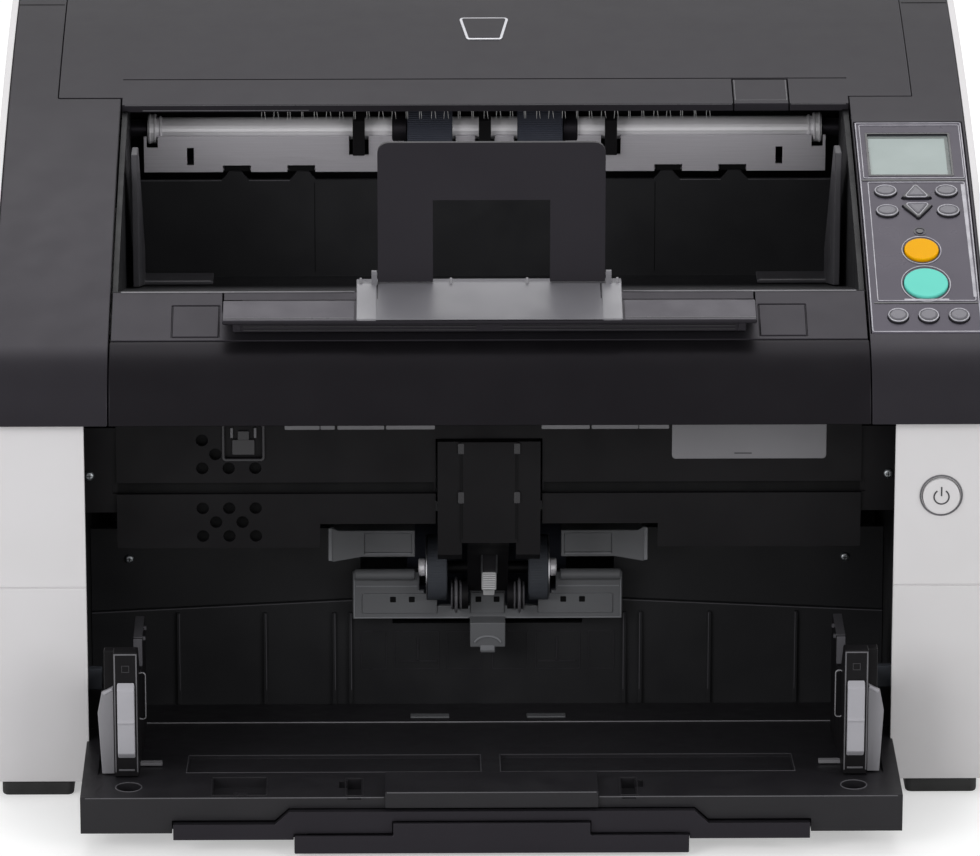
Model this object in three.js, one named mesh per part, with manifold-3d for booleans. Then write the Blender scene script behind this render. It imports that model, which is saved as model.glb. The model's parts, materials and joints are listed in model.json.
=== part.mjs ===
// Desktop document scanner with a hinged feeder cover, in millimetres.
// X runs to the right, Y to the back and Z up. The origin is on the floor, under the middle of the body.
import * as THREE from 'three';
import { mergeVertices } from 'three/addons/utils/BufferGeometryUtils.js';
import Module from 'manifold-3d';

const wasm = await Module();
wasm.setup();

const degree = Math.PI / 180;

// Body
const bodyHalfWidth = 230;
const bodyFront = -136;
const bodyRear = 215;
const footHeight = 6.9;
const clearance = 0.3;
const overrun = 2;
const weldDistance = 0.0001;

// Curved top: one circular arc that climbs from the front beam to the rear
const slopeStart = -118;
const slopeStartHeight = 212.3;
const slopeStartAngle = 26.08 * degree;
const slopeRadius = 1021;

// White side shells
const shellWall = 3.1;
const shellFrontWidth = 45.5;
const bayHalfWidth = bodyHalfWidth - shellFrontWidth;
const shellPanel = 3;
const shellSeamHeight = 101.2;
const shellSeamGroove = 0.8;
const shellBandRise = 11.6;
const shellBandTop = shellSeamHeight + shellBandRise;
const shellBandSetback = 1;
const shellFloor = 2.5;

// Feet
const footSideInset = 5;
const footWidth = 33;
const footOuter = bodyHalfWidth - footSideInset;
const footInner = footOuter - footWidth;
const footLength = 34;
const footCornerRadius = 3;
const footInset = 0.5;
const rearFootInset = 12;

// Steel chassis
const frameSetback = 3.5;
const frameInner = bayHalfWidth + frameSetback;
const frameThickness = 2;
const frameTopDrop = 14;
const frameRear = 205;
const basePlateFront = -18;
const basePlateThickness = 2;

// Black top covers and front beam
const coverThickness = 2.6;
const coverRear = 212;
const beamFront = -141;
const beamDrop = 31.8;
const beamBottom = slopeStartHeight - beamDrop;
const beamThickness = 3;
const beamRear = -113.4;
const beamTopEnd = -115.9;
const topCoverWidth = 57;
const recessHalfWidth = bodyHalfWidth - topCoverWidth;

// Feeder cover
const lidSideBorder = 27;
const lidHalfWidth = bodyHalfWidth - lidSideBorder;
const lidThickness = 3;
const lidFront = 53.5;
const lidCorner = 60;
const lipSeam = 76;
const lipGrooveWidth = 0.8;
const lipGrooveDepth = 0.5;
const lidSkirtDepth = 9;
const lidSkirtRear = 200;
const lipFaceDepth = 3.4;
const lidHingeY = 203;
const lidHingeRise = 84.7;
const lidHingeHeight = slopeStartHeight + lidHingeRise;
const knuckleRadius = 4.5;
const knuckleBore = 2.4;
const knuckleInset = 63;
const knuckleInner = lidHalfWidth - knuckleInset;
const knuckleLength = 20;
const knuckleOuter = knuckleInner + knuckleLength;
const knuckleWeb = 5;
const hingePinRadius = 2;
const hingeEarWidth = 6;
const hingeEarRise = 3;
const hingePinLength = 14;

// Release tab in the lip of the feeder cover
const latchWidth = 26.1;
const latchInset = 28.7;
const latchRight = recessHalfWidth - latchInset;
const latchLeft = latchRight - latchWidth;
const latchGap = 0.5;
const latchRear = 75.3;
const latchThickness = 2.4;
const latchRibWidth = 2;
const latchRibDepth = 3.8;

// Static brush under the lip
const brushY = 75.5;
const brushBackingThickness = 2;
const brushBackingHalfWidth = 109;
const brushRise = 57.2;
const brushBackingBottom = slopeStartHeight + brushRise;
const brushLength = 5;
const brushTip = brushBackingBottom - brushLength;
const brushPitch = 6.27;
const brushCount = 35;
const brushStrandRadius = 0.35;
const brushLean = 0.4;

// Rear cover
const rearCoverThickness = 3;
const rearCoverMiddleRise = 82.7;
const rearCoverMiddleTop = slopeStartHeight + rearCoverMiddleRise;
const rearCoverSideStep = 8;
const rearCoverSideTop = rearCoverMiddleTop + rearCoverSideStep;
const rearVentCount = 9;
const rearVentPitch = 9;
const rearVentWidth = 3;
const rearVentLength = 90;
const rearVentBottom = 90;
const rearVentCentre = 90;

// Power supply and its inlet
const supplyLeft = -130;
const supplyRight = -20;
const supplyFront = 110;
const supplyRear = 208;
const supplyHeight = 44;
const inletHalfWidth = 13.5;
const inletHeight = 19.5;
const inletRise = 14;
const inletPocketDepth = 6;
const inletRim = 2.2;
const supplyLidSteps = 1.2;

// Stacker tray
const shelfFront = 66;
const shelfDrop = 28.3;
const shelfHeight = slopeStartHeight - shelfDrop;
const shelfThickness = 3;
const trayAngle = 16 * degree;
const traySlabFront = -85.5;
const traySlabDepth = 11;
const trayWall = 2.5;
const trayWallRear = 84;
const trayWallDrop = 3.8;
const trayBackFront = 82;
const trayBackThickness = 2;
const trayBackHeight = 48.4;
const trayBackTop = shelfHeight + trayBackHeight;
const trayTabHeight = 4.1;
const trayTabChamfer = 1.6;
const trayTabFlare = 2;
const trayTabTop = trayBackTop + trayTabHeight;
const trayTabs = [[83.3, 91.9], [115.6, 124.7]];
const trayFrontWallRise = 2;
const trayFrontWallBottom = shelfHeight + trayFrontWallRise;
const trayFrontWallHeight = 19;
const trayFrontWallTop = trayFrontWallBottom + trayFrontWallHeight;
const trayStrutThickness = 3;

// Stacker front cover
const flapCoverFront = -115.5;
const flapCoverBorder = 0.7;
const flapCoverHalfWidth = recessHalfWidth - flapCoverBorder;
const flapCoverThickness = 2.2;
const flapCoverMiddleRear = -98.5;
const flapCoverNotchHalfWidth = 122;
const flapPadInner = 123;
const flapPadWidth = 22;
const flapPadFront = -113.8;
const flapPadRear = -94;
const flapPadGroove = 0.6;

// Stacker extension
const extensionDrop = 4;
const extensionThickness = 3.5;
const extensionHalfWidth = 113;
const extensionRear = 34;
const extensionHeadRear = -103;
const extensionHeadHalfWidth = 121.4;
const extensionLipY = -121;
const extensionLipRise = 12;
const extensionLipHeight = slopeStartHeight + extensionLipRise;
const extensionLipEdge = [0.7, 2.1];
const extensionChinHalfWidth = 117;
const extensionChinY = -112;
const extensionChinDrop = 8.3;
const extensionChinHeight = extensionLipHeight - extensionChinDrop;
const extensionChinThickness = 3;

// Stopper slide and flap
const stopperHalfWidth = 60.5;
const stopperRear = -87.6;
const stopperCrestY = -95;
const stopperCrestRise = 10.3;
const stopperCrestHeight = extensionLipHeight + stopperCrestRise;
const stopperRise = 0.5;
const stopperTongueHalfWidth = 26;
const stopperTongueDepth = 1.6;
const stopperTongueRear = -87;
const flapHalfWidth = 51.9;
const flapOffset = 1.1;
const flapHeight = 66;
const flapAxisInset = 3.2;
const flapAxisRise = 3.8;
const flapAxisHeight = stopperCrestHeight + flapAxisRise;
const flapBottom = flapAxisHeight - flapAxisInset;
const flapTop = flapBottom + flapHeight;
const flapThickness = 2.6;
const flapCornerRadius = 5;
const flapWindowHalfWidth = 26.7;
const flapWindowHeight = 38.8;
const flapWindowTop = flapBottom + flapWindowHeight;
const flapY = -95;
const flapPinRadius = 0.9;
const flapPinLength = 4;
const flapEarWidth = 2.6;
const flapEarRadius = 2;

// Stacker side guides
const stackGuideInset = 9;
const stackGuideInner = recessHalfWidth - stackGuideInset;
const stackGuideThickness = 3;
const stackGuideFront = 9;
const stackGuideRise = 82;
const stackGuideTop = shelfHeight + stackGuideRise;
const stackGuideTopLength = 13;
const stackGuideRear = 81.4;
const stackGuideRearRise = 14;
const stackGuideRearHeight = shelfHeight + stackGuideRearRise;
const stackGuideFootWidth = 33;
const stackGuideFootThickness = 1.8;
const stackGuideFootFront = 67;

// Exit: shaft, rollers, stainless plate
const ejectY = 91;
const ejectRise = 71.6;
const ejectHeight = shelfHeight + ejectRise;
const ejectShaftRadius = 5.5;
const ejectRollerRadius = 12;
const ejectRollerInner = 15.6;
const ejectRollerOuter = 37.3;
const ejectCollarRadius = 7;
const ejectCollarInset = 11;
const ejectCollarWidth = 4;
const ejectCollarOuter = recessHalfWidth - ejectCollarInset;
const ejectCollarInner = ejectCollarOuter - ejectCollarWidth;
const ejectEndRadius = 3;
const exitPlateY = 84.2;
const exitPlateThickness = 1.2;
const exitPlateEnd = 2;
const exitPlateHalfWidth = ejectCollarOuter + exitPlateEnd;
const exitPlateDrop = 19.9;
const exitPlateBottom = ejectHeight - exitPlateDrop;
const exitPlateHeight = 17.8;
const exitPlateTop = exitPlateBottom + exitPlateHeight;
const exitSlotInset = 24;
const exitSlotWidth = 3.3;
const exitSlotRise = 3.6;
const exitSlotHeight = 8.5;
const exitNotches = [[81.7, 95], [112.6, 126]];
const exitNotchHeight = 3.3;
const exitFingerMargin = 1.8;
const exitFingerGap = 0.7;
const exitNotchTop = exitPlateBottom + exitNotchHeight;
const exitRollerCutMargin = 1.6;
const exitRollerCutDrop = 14.1;
const exitRollerCutBottom = ejectHeight - exitRollerCutDrop;

// Scan units on each side of the paper path
const lowerScanFront = 104;
const scanRear = 185;
const lowerScanDrop = 43.6;
const lowerScanBottom = ejectHeight - lowerScanDrop;
const lowerScanRise = 10.4;
const lowerScanTop = ejectHeight + lowerScanRise;
const upperScanFront = 109;
const paperGap = 4;
const upperScanBottom = lowerScanTop + paperGap;
const upperScanInset = 8;
const upperScanHalfWidth = recessHalfWidth - upperScanInset;
const scanGlassDepth = 0.8;
const scanGlassLength = 14;
const scanGlassInset = 13;
const scanGlassHalfWidth = upperScanHalfWidth - scanGlassInset;
const scanGlassY = 140;
const fingerTop = lowerScanTop;
const fingerFront = 79.8;
const fingerThickness = 4;
const fingerDrop = 10.7;
const fingerTip = ejectHeight - fingerDrop;
const fingerHalfWidth = 2.9;
const fingerCentres = [-60.6, 0, 60.6];
const fingerChamfer = 4;

// Inner panel of the hopper bay
const innerPanelY = -95;
const innerPanelThickness = 3;
const innerPanelInset = 16.3;
const innerPanelHalfWidth = frameInner - innerPanelInset;
const innerPanelTopGap = 2.5;
const innerPanelHeight = 71;
const innerPanelTop = beamBottom - innerPanelTopGap;
const innerPanelBottom = innerPanelTop - innerPanelHeight;
const innerPanelGrooveRise = 26.2;
const innerPanelGrooveBottom = innerPanelBottom + innerPanelGrooveRise;
const innerPanelGrooveHeight = 5.6;
const innerPanelGrooveTop = innerPanelGrooveBottom + innerPanelGrooveHeight;
const innerPanelGrooveDepth = 2.4;
const innerPanelGap = 24.6;
const innerPanelArchHalfWidth = 78;
const innerPanelArchHeight = 11.5;
const innerBracketRise = 17;
const innerBracketBottom = innerPanelBottom + innerBracketRise;
const innerBracketHeight = 41;
const innerBracketTop = innerBracketBottom + innerBracketHeight;
const innerBracketSetback = 3;
const ventRadius = 2.9;
const ventPitch = 12.2;
const ventInset = 39.6;
const ventLeft = ventInset - innerPanelHalfWidth;
const ventRowHeight = 6.77;
const ventUpperDrop = 18.6;
const ventUpperTop = innerPanelTop - ventUpperDrop;
const ventRowsDrop = 33;
const ventLowerTop = ventUpperTop - ventRowsDrop;
const ventUpperColumns = [[0, 2], [1], [2], [], [2]];
const ventLowerColumns = [[0, 2], [1], [0, 2], [1], [0, 2]];
const socketInset = 50.1;
const socketLeft = socketInset - innerPanelHalfWidth;
const socketWidth = 17.1;
const socketRight = socketLeft + socketWidth;
const socketDrop = 27.2;
const socketBottom = innerPanelTop - socketDrop;
const socketHeight = 15.6;
const socketTop = socketBottom + socketHeight;
const socketDepth = 1.5;

// Pick arm, its shaft and rollers
const pickPivotY = -72;
const pickPivotDrop = 32.5;
const pickPivotHeight = beamBottom - pickPivotDrop;
const pickPivotRadius = 3;
const pickPivotHalfWidth = 29.5;
const pickEarThickness = 2.8;
const pickEarRadius = 8;
const pickRollerY = -33;
const pickRollerHeight = 75;
const pickRollerRadius = 15.5;
const pickRollerInner = 19.1;
const pickRollerOuter = 28.6;
const pickShaftRadius = 3;
const pickShaftHalfWidth = 31.2;
const pickWebHalfWidth = 9.5;
const pickCheekInner = 12.5;
const pickCheekOuter = 23.7;
const pickCheekFront = -98.5;
const pickCheekRear = -62;
const pickCheekRise = 11;
const pickCheekTop = pickPivotHeight + pickCheekRise;
const pickCheekHeight = 55;
const pickCheekBottom = pickCheekTop - pickCheekHeight;
const pickCoverHalfWidth = 13;
const pickCoverRise = 6;
const pickCoverBottom = pickCheekBottom + pickCoverRise;
const pickBridgeDepth = 7;
const pickWebDrop = 9;
const pickWebBottom = pickRollerHeight - pickWebDrop;
const pickWebTail = -22;
const pickDiscRadius = 6.7;
const pickDiscOuter = 17.2;
const pickDiscY = -41;
const pickDiscDrop = 11.1;
const pickDiscHeight = pickRollerHeight - pickDiscDrop;

// Guide wings on their cross bar
const wingInner = 34.2;
const wingOuter = 75;
const wingFront = -58;
const wingRise = 28.7;
const wingTop = pickRollerHeight + wingRise;
const wingHeight = 17.3;
const wingLipBottom = wingTop - wingHeight;
const wingSheet = 2.5;
const wingBarFront = -20;
const wingBarRear = -15;
const wingBarDrop = 5.2;
const wingBarBottom = wingTop - wingBarDrop;
const wingStep = 59.5;
const wingStepDrop = 1.8;
const wingTaper = 2.4;
const wingPocketMargin = 1.6;
const wingPocketDepth = 1.2;

// Sheet guide in front of the feed opening
const sheetGuideFront = -36.5;
const sheetGuideThickness = 3;
const sheetGuideHalfWidth = 63.7;
const sheetGuideBottom = 50.3;
const sheetGuideHeight = 23.4;
const sheetGuideTop = sheetGuideBottom + sheetGuideHeight;
const sheetGuideNotchHalfWidth = 32.2;
const sheetGuideNotchRise = 14.1;
const sheetGuideSlotInner = 8.5;
const sheetGuideSlotOuter = 30;
const sheetGuideSlotRise = 6.5;
const sheetGuideNotchBottom = sheetGuideBottom + sheetGuideNotchRise;
const sheetGuideNoseHalfWidth = 8.3;
const sheetGuideNoseDepth = 9;
const sheetGuideNoseDrop = 11.1;
const sheetGuideNoseBottom = sheetGuideBottom - sheetGuideNoseDrop;
const sheetGuideNoseRise = 1.1;
const sheetGuideNoseTop = sheetGuideBottom + sheetGuideNoseRise;
const sheetGuideTipHalfWidth = 3.5;
const sheetGuideTipHeight = 2.8;
const sheetGuideTipBottom = sheetGuideNoseBottom - sheetGuideTipHeight;
const sheetGuideBossInner = 48;
const sheetGuideBossOuter = 56;
const sheetGuideBossHeight = 3.7;
const sheetGuideBossTop = sheetGuideBottom + sheetGuideBossHeight;
const sheetGuideHoles = [35.8, 44.7];
const sheetGuideHoleRise = 10.1;
const sheetGuideHoleHeight = sheetGuideBottom + sheetGuideHoleRise;
const sheetGuideHoleSize = 3;

// Back wall of the hopper bay
const bayBackFront = -28;
const bayBackThickness = 3;
const bayBackBottom = 3;
const bayBackOuterTop = 51;
const bayBackInnerTop = 57;
const bayBackOpeningHalfWidth = 45;
const bayBackOpeningTop = 45;
const bayUpperInner = 60;
const bayUpperTop = 92;
const bayRibs = [65, 72.7, 105.4, 146.5];
const bayRibWidth = 1.6;
const bayRibDepth = 1.6;

// Feed and brake rollers behind the opening
const feedY = 10;
const feedHeight = 72;
const feedRollerRadius = 12;
const feedNip = 0.6;
const feedShaftRadius = 4;
const feedRollerHalfWidth = 38;
const brakeRollerHalfWidth = 26;
const gearRadius = 24;
const gearSetback = 2.5;
const gearInner = frameInner + gearSetback;
const gearWidth = 6;
const gearTeeth = 24;
const gearToothDepth = 2;
const pinionRadius = 8;
const pinionTeeth = 10;

// Drive motor on the right frame
const motorHalfSize = 21;
const motorLength = 46;
const motorBossRadius = 11;
const motorBossHeight = 2;
const motorShaftRadius = 2.5;

// Main board on the left frame
const boardOffset = 7;
const boardThickness = 1.6;
const boardFront = -60;
const boardRear = 140;
const boardBottom = 40;
const boardTop = 186;
const boardPostRadius = 3;
const boardPostInset = 8;
const boardChips = [
  [0.2, 0.3, 0.17, 0.2],
  [0.52, 0.62, 0.14, 0.2],
  [0.75, 0.25, 0.12, 0.12],
  [0.4, 0.12, 0.1, 0.1],
];
const boardChipHeight = 3;

// Hopper table
const tableBreak = -181;
const tableHeight = 27;
const tableAngle = 8.2 * degree;
const tableThickness = 3;
const tableRear = -31;
const tableGap = 0.4;
const tableHalfWidth = bayHalfWidth - tableGap;
const tableFrontFlare = 1.4;
const tableFrontHalfWidth = tableHalfWidth + tableFrontFlare;
const tableFront = -208.3;
const tableFrontBottom = 9.6;
const tableRimWidth = 5.5;
const tableRimInner = tableHalfWidth - tableRimWidth;
const tableRimRear = -70;
const tableRunnerFront = -120;
const tableRunnerRear = -60;
const tableRunnerHeight = 12;
const tableChannelFront = -176;
const tableChannelRear = -141;
const tableChannelInner = 5;
const tableChannelInset = 46.1;
const tableChannelOuter = tableHalfWidth - tableChannelInset;
const tableChannelDepth = 1.5;
const tableHoleInset = 20.1;
const tableHoleX = tableHalfWidth - tableHoleInset;
const tableHoleY = -195.5;
const tableHoleRadius = 5.5;
const tableHoleDepth = 8;
const tableRecess = [-126, -102, -205.5, -184];
const tableRecessDepth = 5;
const tableNotchInner = 58.8;
const tableNotchOuter = 65.1;
const tableNotchSide = 68.9;
const tableNotchRear = -186;
const tableNotchSideRear = -188.5;
const tableNotchSideFront = -197;
const tableNotchFront = -206.5;
const tableNotchDepth = 5;
const tableNotchLipDepth = 1.4;
const tableBlockHalfWidth = 48;
const tableBlockFront = -210.2;
const tableBlockRear = -185;
const tableBlockTop = 30;
const tableBlockBottom = 22.2;
const drawerMouthDepth = 6;
const drawerRailRear = -118;
const drawerRailWidth = 5.5;
const drawerRailThickness = 2;
const drawerWebThickness = 2.2;

// Hopper extensions, one inside the other
const midInset = 40.5;
const midHalfWidth = tableHalfWidth - midInset;
const midPlateBottom = 12;
const midPlateThickness = 2.5;
const midRear = -122;
const midFront = -212.2;
const midHeadBottom = 7.8;
const midHeadTop = 15.2;
const midStepInner = 91.3;
const midStepOuter = 97.7;
const midStepTop = 21.2;
const midRailWidth = 5;
const endHalfWidth = 83;
const endHeadHalfWidth = 89;
const endPlateBottom = 7.4;
const endPlateThickness = 2;
const endRear = -130;
const endFront = -215;
const endHeadBottom = 2;
const endHeadTop = 10.5;
const endCentreHalfWidth = 44.5;
const endCentreTop = 16.4;
const endRailThickness = 1.6;

// Hopper side guides and their grips
const guideInset = 24.3;
const guideInner = tableHalfWidth - guideInset;
const guideColumnWidth = 10.8;
const guideColumnOuter = guideInner + guideColumnWidth;
const guideBodyWidth = 4.5;
const guideBodyOuter = guideColumnOuter + guideBodyWidth;
const guideFront = -184;
const guideColumnDepth = 8;
const guideColumnRear = guideFront + guideColumnDepth;
const guideCrestRear = guideColumnRear + 4;
const guideShoulderY = -150;
const guideBodyRear = -120;
const guideFinRear = -88;
const guideFinThickness = 4.4;
const guideTop = 87.4;
const guideCrestTop = guideTop - 1.4;
const guideShoulderTop = 62;
const guideBodyTop = 58;
const guideFinTop = 72;
const guideBodyChamfer = 4;
const gripInset = 1.4;
const gripInner = guideInner + gripInset;
const gripWidth = 7.8;
const gripOuter = gripInner + gripWidth;
const gripDepth = 3;
const gripBottom = 36.8;
const gripTop = 73.4;
const gripRidge = 55;
const gripRidgeRise = 0.8;
const gripRidgeHeight = 3;

// Operator panel on the right cover
const panelInset = 1.4;
const panelLeft = recessHalfWidth + panelInset;
const panelWidth = 50.6;
const panelRight = panelLeft + panelWidth;
const panelFront = -112;
const panelRear = 37;
const panelSetback = 0.3;
const panelThickness = 4;
const panelRecessMargin = 0.4;
const displayInset = 5.4;
const displayLeft = panelLeft + displayInset;
const displayWidth = 38.2;
const displayRight = displayLeft + displayWidth;
const displayFront = -5;
const displayRear = 27.3;
const displaySink = 0.8;
const displayThickness = 1.6;
const buttonRise = 0.9;
const buttonDepth = 3.6;
const buttonGap = 0.35;
const keyInset = 11.6;
const keyPitch = 14.2;
const keyLeftX = panelLeft + keyInset;
const keyMiddleX = keyLeftX + keyPitch;
const keyRightX = keyMiddleX + keyPitch;
const upperKeyY = -18.4;
const lowerKeyY = -32.8;
const stopY = -59.5;
const scanShift = 0.7;
const scanX = keyMiddleX + scanShift;
const scanY = -81.6;
const counterPitch = 13.95;
const counterMiddleX = scanX;
const counterLeftX = counterMiddleX - counterPitch;
const counterRightX = counterMiddleX + counterPitch;
const counterY = -102.4;
const ovalWidth = 10.4;
const ovalLength = 8.2;
const triangleWidth = 12;
const triangleLength = 8.5;
const triangleRounding = 1.2;
const stopRadius = 8;
const scanRadius = 10.2;
const counterWidth = 9.4;
const counterLength = 8.4;

// Power button on the right shell
const powerInset = 24.3;
const powerX = bodyHalfWidth - powerInset;
const powerDrop = 35.8;
const powerHeight = beamBottom - powerDrop;
const powerRadius = 8.4;
const powerLength = 7;
const powerRise = 0.8;
const powerFlangeRadius = 10;
const powerFlangeThickness = 1.5;

// Finishes
const coverBlack = { color: 0x2b2b2d, roughness: 0.45, metalness: 0 };
const deepBlack = { color: 0x161617, roughness: 0.5, metalness: 0 };
const trayBlack = { color: 0x1d1d1f, roughness: 0.6, metalness: 0 };
const shellWhite = { color: 0xd2d0d1, roughness: 0.55, metalness: 0 };
const footBlack = { color: 0x1a1a1a, roughness: 0.9, metalness: 0 };
const coatedSteel = { color: 0x222224, roughness: 0.5, metalness: 0.3 };
const steel = { color: 0x9da0a3, roughness: 0.45, metalness: 1 };
const chrome = { color: 0xc9c9c9, roughness: 0.2, metalness: 1 };
const stainless = { color: 0xa7a5a2, roughness: 0.35, metalness: 1 };
const rubberNavy = { color: 0x262c38, roughness: 0.85, metalness: 0 };
const guideGrey = { color: 0x6b6c6e, roughness: 0.5, metalness: 0 };
const gripGrey = { color: 0xa5a5aa, roughness: 0.5, metalness: 0 };
const slideGrey = { color: 0x66666a, roughness: 0.4, metalness: 0 };
const panelGrey = { color: 0x5a585f, roughness: 0.35, metalness: 0 };
const buttonGrey = { color: 0x77757d, roughness: 0.4, metalness: 0 };
const displayGreen = { color: 0xadbeb9, roughness: 0.25, metalness: 0 };
const stopOrange = { color: 0xffa50a, roughness: 0.4, metalness: 0 };
const scanGreen = { color: 0x73e6c8, roughness: 0.4, metalness: 0 };
const boardGreen = { color: 0x1f5a37, roughness: 0.6, metalness: 0 };
const brushPale = { color: 0x8d8d8d, roughness: 0.7, metalness: 0 };
const motorBlack = { color: 0x232325, roughness: 0.5, metalness: 0.6 };

// Heights on the curved top, its tilt, and its outline between two places
const slopeCentreY = slopeStart + slopeRadius * Math.sin(slopeStartAngle);
const slopeCentreHeight = slopeStartHeight - slopeRadius * Math.cos(slopeStartAngle);

function slopeHeight(y, depth = 0) {
  const radius = slopeRadius - depth;
  return slopeCentreHeight + Math.sqrt(radius * radius - (y - slopeCentreY) ** 2);
}

function slopeTilt(y) {
  return Math.asin((slopeCentreY - y) / slopeRadius);
}

function slopeLine(fromY, toY, depth, steps = 8) {
  const points = [];
  for (let i = 0; i <= steps; i += 1) {
    const y = fromY + (toY - fromY) * i / steps;
    points.push([y, slopeHeight(y, depth)]);
  }
  return points;
}

// The front beam rounds off the slope with an arc that ends at its foremost line
const beamRadius = (slopeStart - beamFront) / (1 - Math.sin(slopeStartAngle));
const beamCentreY = slopeStart + beamRadius * Math.sin(slopeStartAngle);
const beamCentreHeight = slopeStartHeight - beamRadius * Math.cos(slopeStartAngle);

function beamArc(depth, fromTop, steps = 8) {
  const radius = beamRadius - depth;
  const top = Math.PI / 2 - slopeStartAngle;
  const bottom = Math.asin((beamBottom - beamCentreHeight) / radius);
  const points = [];
  for (let i = 0; i <= steps; i += 1) {
    const share = fromTop ? i / steps : 1 - i / steps;
    const angle = top + (bottom - top) * share;
    points.push([beamCentreY - radius * Math.cos(angle), beamCentreHeight + radius * Math.sin(angle)]);
  }
  return points;
}

// Height of the stacker floor, which climbs towards the front
function floorHeight(y) {
  return shelfHeight + (shelfFront - y) * Math.tan(trayAngle);
}

// Height of the hopper table, which falls towards the back
function tableTop(y) {
  return tableHeight - (y - tableBreak) * Math.tan(tableAngle);
}

// Closed solids for cutting and joining
function solidOf(geometry) {
  geometry.deleteAttribute('normal');
  geometry.deleteAttribute('uv');
  const merged = mergeVertices(geometry, weldDistance);
  const vertProperties = new Float32Array(merged.attributes.position.array);
  const triVerts = new Uint32Array(merged.index.array);
  return new wasm.Manifold(new wasm.Mesh({ numProp: 3, vertProperties, triVerts }));
}

function box([x0, x1], [y0, y1], [z0, z1]) {
  const geometry = new THREE.BoxGeometry(x1 - x0, y1 - y0, z1 - z0);
  geometry.translate((x0 + x1) / 2, (y0 + y1) / 2, (z0 + z1) / 2);
  return solidOf(geometry);
}

const right = new THREE.Vector3(1, 0, 0);
const back = new THREE.Vector3(0, 1, 0);
const front = new THREE.Vector3(0, -1, 0);
const up = new THREE.Vector3(0, 0, 1);
const sideways = new THREE.Matrix4().makeBasis(back, up, right);
const frontwards = new THREE.Matrix4().makeBasis(right, up, front);

function prismGeometry(points, from, to) {
  const shape = new THREE.Shape(points.map(([a, b]) => new THREE.Vector2(a, b)));
  const geometry = new THREE.ExtrudeGeometry(shape, { depth: to - from, bevelEnabled: false });
  return geometry.translate(0, 0, from);
}

// A prism along X has its outline in Y and Z, one along Y in X and Z, and one along Z in X and Y
function prismAlongX(points, [x0, x1]) {
  return solidOf(prismGeometry(points, x0, x1).applyMatrix4(sideways));
}

function prismAlongY(points, [y0, y1]) {
  return solidOf(prismGeometry(points, -y1, -y0).applyMatrix4(frontwards));
}

function prismAlongZ(points, [z0, z1]) {
  return solidOf(prismGeometry(points, z0, z1));
}

function rodAlongX(radius, [x0, x1], y, z, sides = 24) {
  const geometry = new THREE.CylinderGeometry(radius, radius, x1 - x0, sides);
  geometry.rotateZ(-Math.PI / 2);
  return solidOf(geometry.translate((x0 + x1) / 2, y, z));
}

function rodAlongY(radius, [y0, y1], x, z, sides = 24) {
  const geometry = new THREE.CylinderGeometry(radius, radius, y1 - y0, sides);
  return solidOf(geometry.translate(x, (y0 + y1) / 2, z));
}

function rodAlongZ(radius, [z0, z1], x, y, sides = 24) {
  const geometry = new THREE.CylinderGeometry(radius, radius, z1 - z0, sides);
  geometry.rotateX(Math.PI / 2);
  return solidOf(geometry.translate(x, y, (z0 + z1) / 2));
}

// A span across X on the left (side -1) or right (side 1), measured from the middle of the body
function span(side, inner, outer) {
  return side > 0 ? [inner, outer] : [-outer, -inner];
}

function both(halfWidth) {
  return [-halfWidth, halfWidth];
}

function joined(solids) {
  return solids.reduce((sum, solid) => sum.add(solid));
}

function cut(solid, tools) {
  return tools.reduce((rest, tool) => rest.subtract(tool), solid);
}

function roundedRectangle(halfWidth, bottom, top, radius, steps = 4) {
  const corners = [
    [halfWidth - radius, bottom + radius, -90],
    [halfWidth - radius, top - radius, 0],
    [radius - halfWidth, top - radius, 90],
    [radius - halfWidth, bottom + radius, 180],
  ];
  return corners.flatMap(([x, y, start]) => {
    const points = [];
    for (let i = 0; i <= steps; i += 1) {
      const angle = (start + 90 * i / steps) * degree;
      points.push([x + radius * Math.cos(angle), y + radius * Math.sin(angle)]);
    }
    return points;
  });
}

function toothedOutline(radius, depth, teeth) {
  const points = [];
  for (let i = 0; i < teeth; i += 1) {
    const start = 2 * Math.PI * i / teeth;
    const pitch = 2 * Math.PI / teeth;
    for (const [share, reach] of [[0, radius - depth], [0.3, radius], [0.5, radius], [0.8, radius - depth]]) {
      points.push([reach * Math.cos(start + pitch * share), reach * Math.sin(start + pitch * share)]);
    }
  }
  return points;
}

function shifted(points, [a, b]) {
  return points.map(([p, q]) => [p + a, q + b]);
}

// The finished scene
const scanner = new THREE.Group();
scanner.name = 'document_scanner';

function addPart(name, solid, look) {
  const output = solid.getMesh();
  const geometry = new THREE.BufferGeometry();
  geometry.setAttribute('position', new THREE.BufferAttribute(output.vertProperties, 3));
  geometry.setIndex(new THREE.BufferAttribute(output.triVerts, 1));
  geometry.computeVertexNormals();
  const mesh = new THREE.Mesh(geometry, new THREE.MeshStandardMaterial(look));
  mesh.name = name;
  scanner.add(mesh);
  return mesh;
}

const sides = [['left', -1], ['right', 1]];

// Chassis: a base plate between two side frames, with holes for the shafts that pass through
const gearSpan = [gearInner, gearInner + gearWidth];
const motorY = feedY + gearRadius + pinionRadius + clearance;

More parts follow.
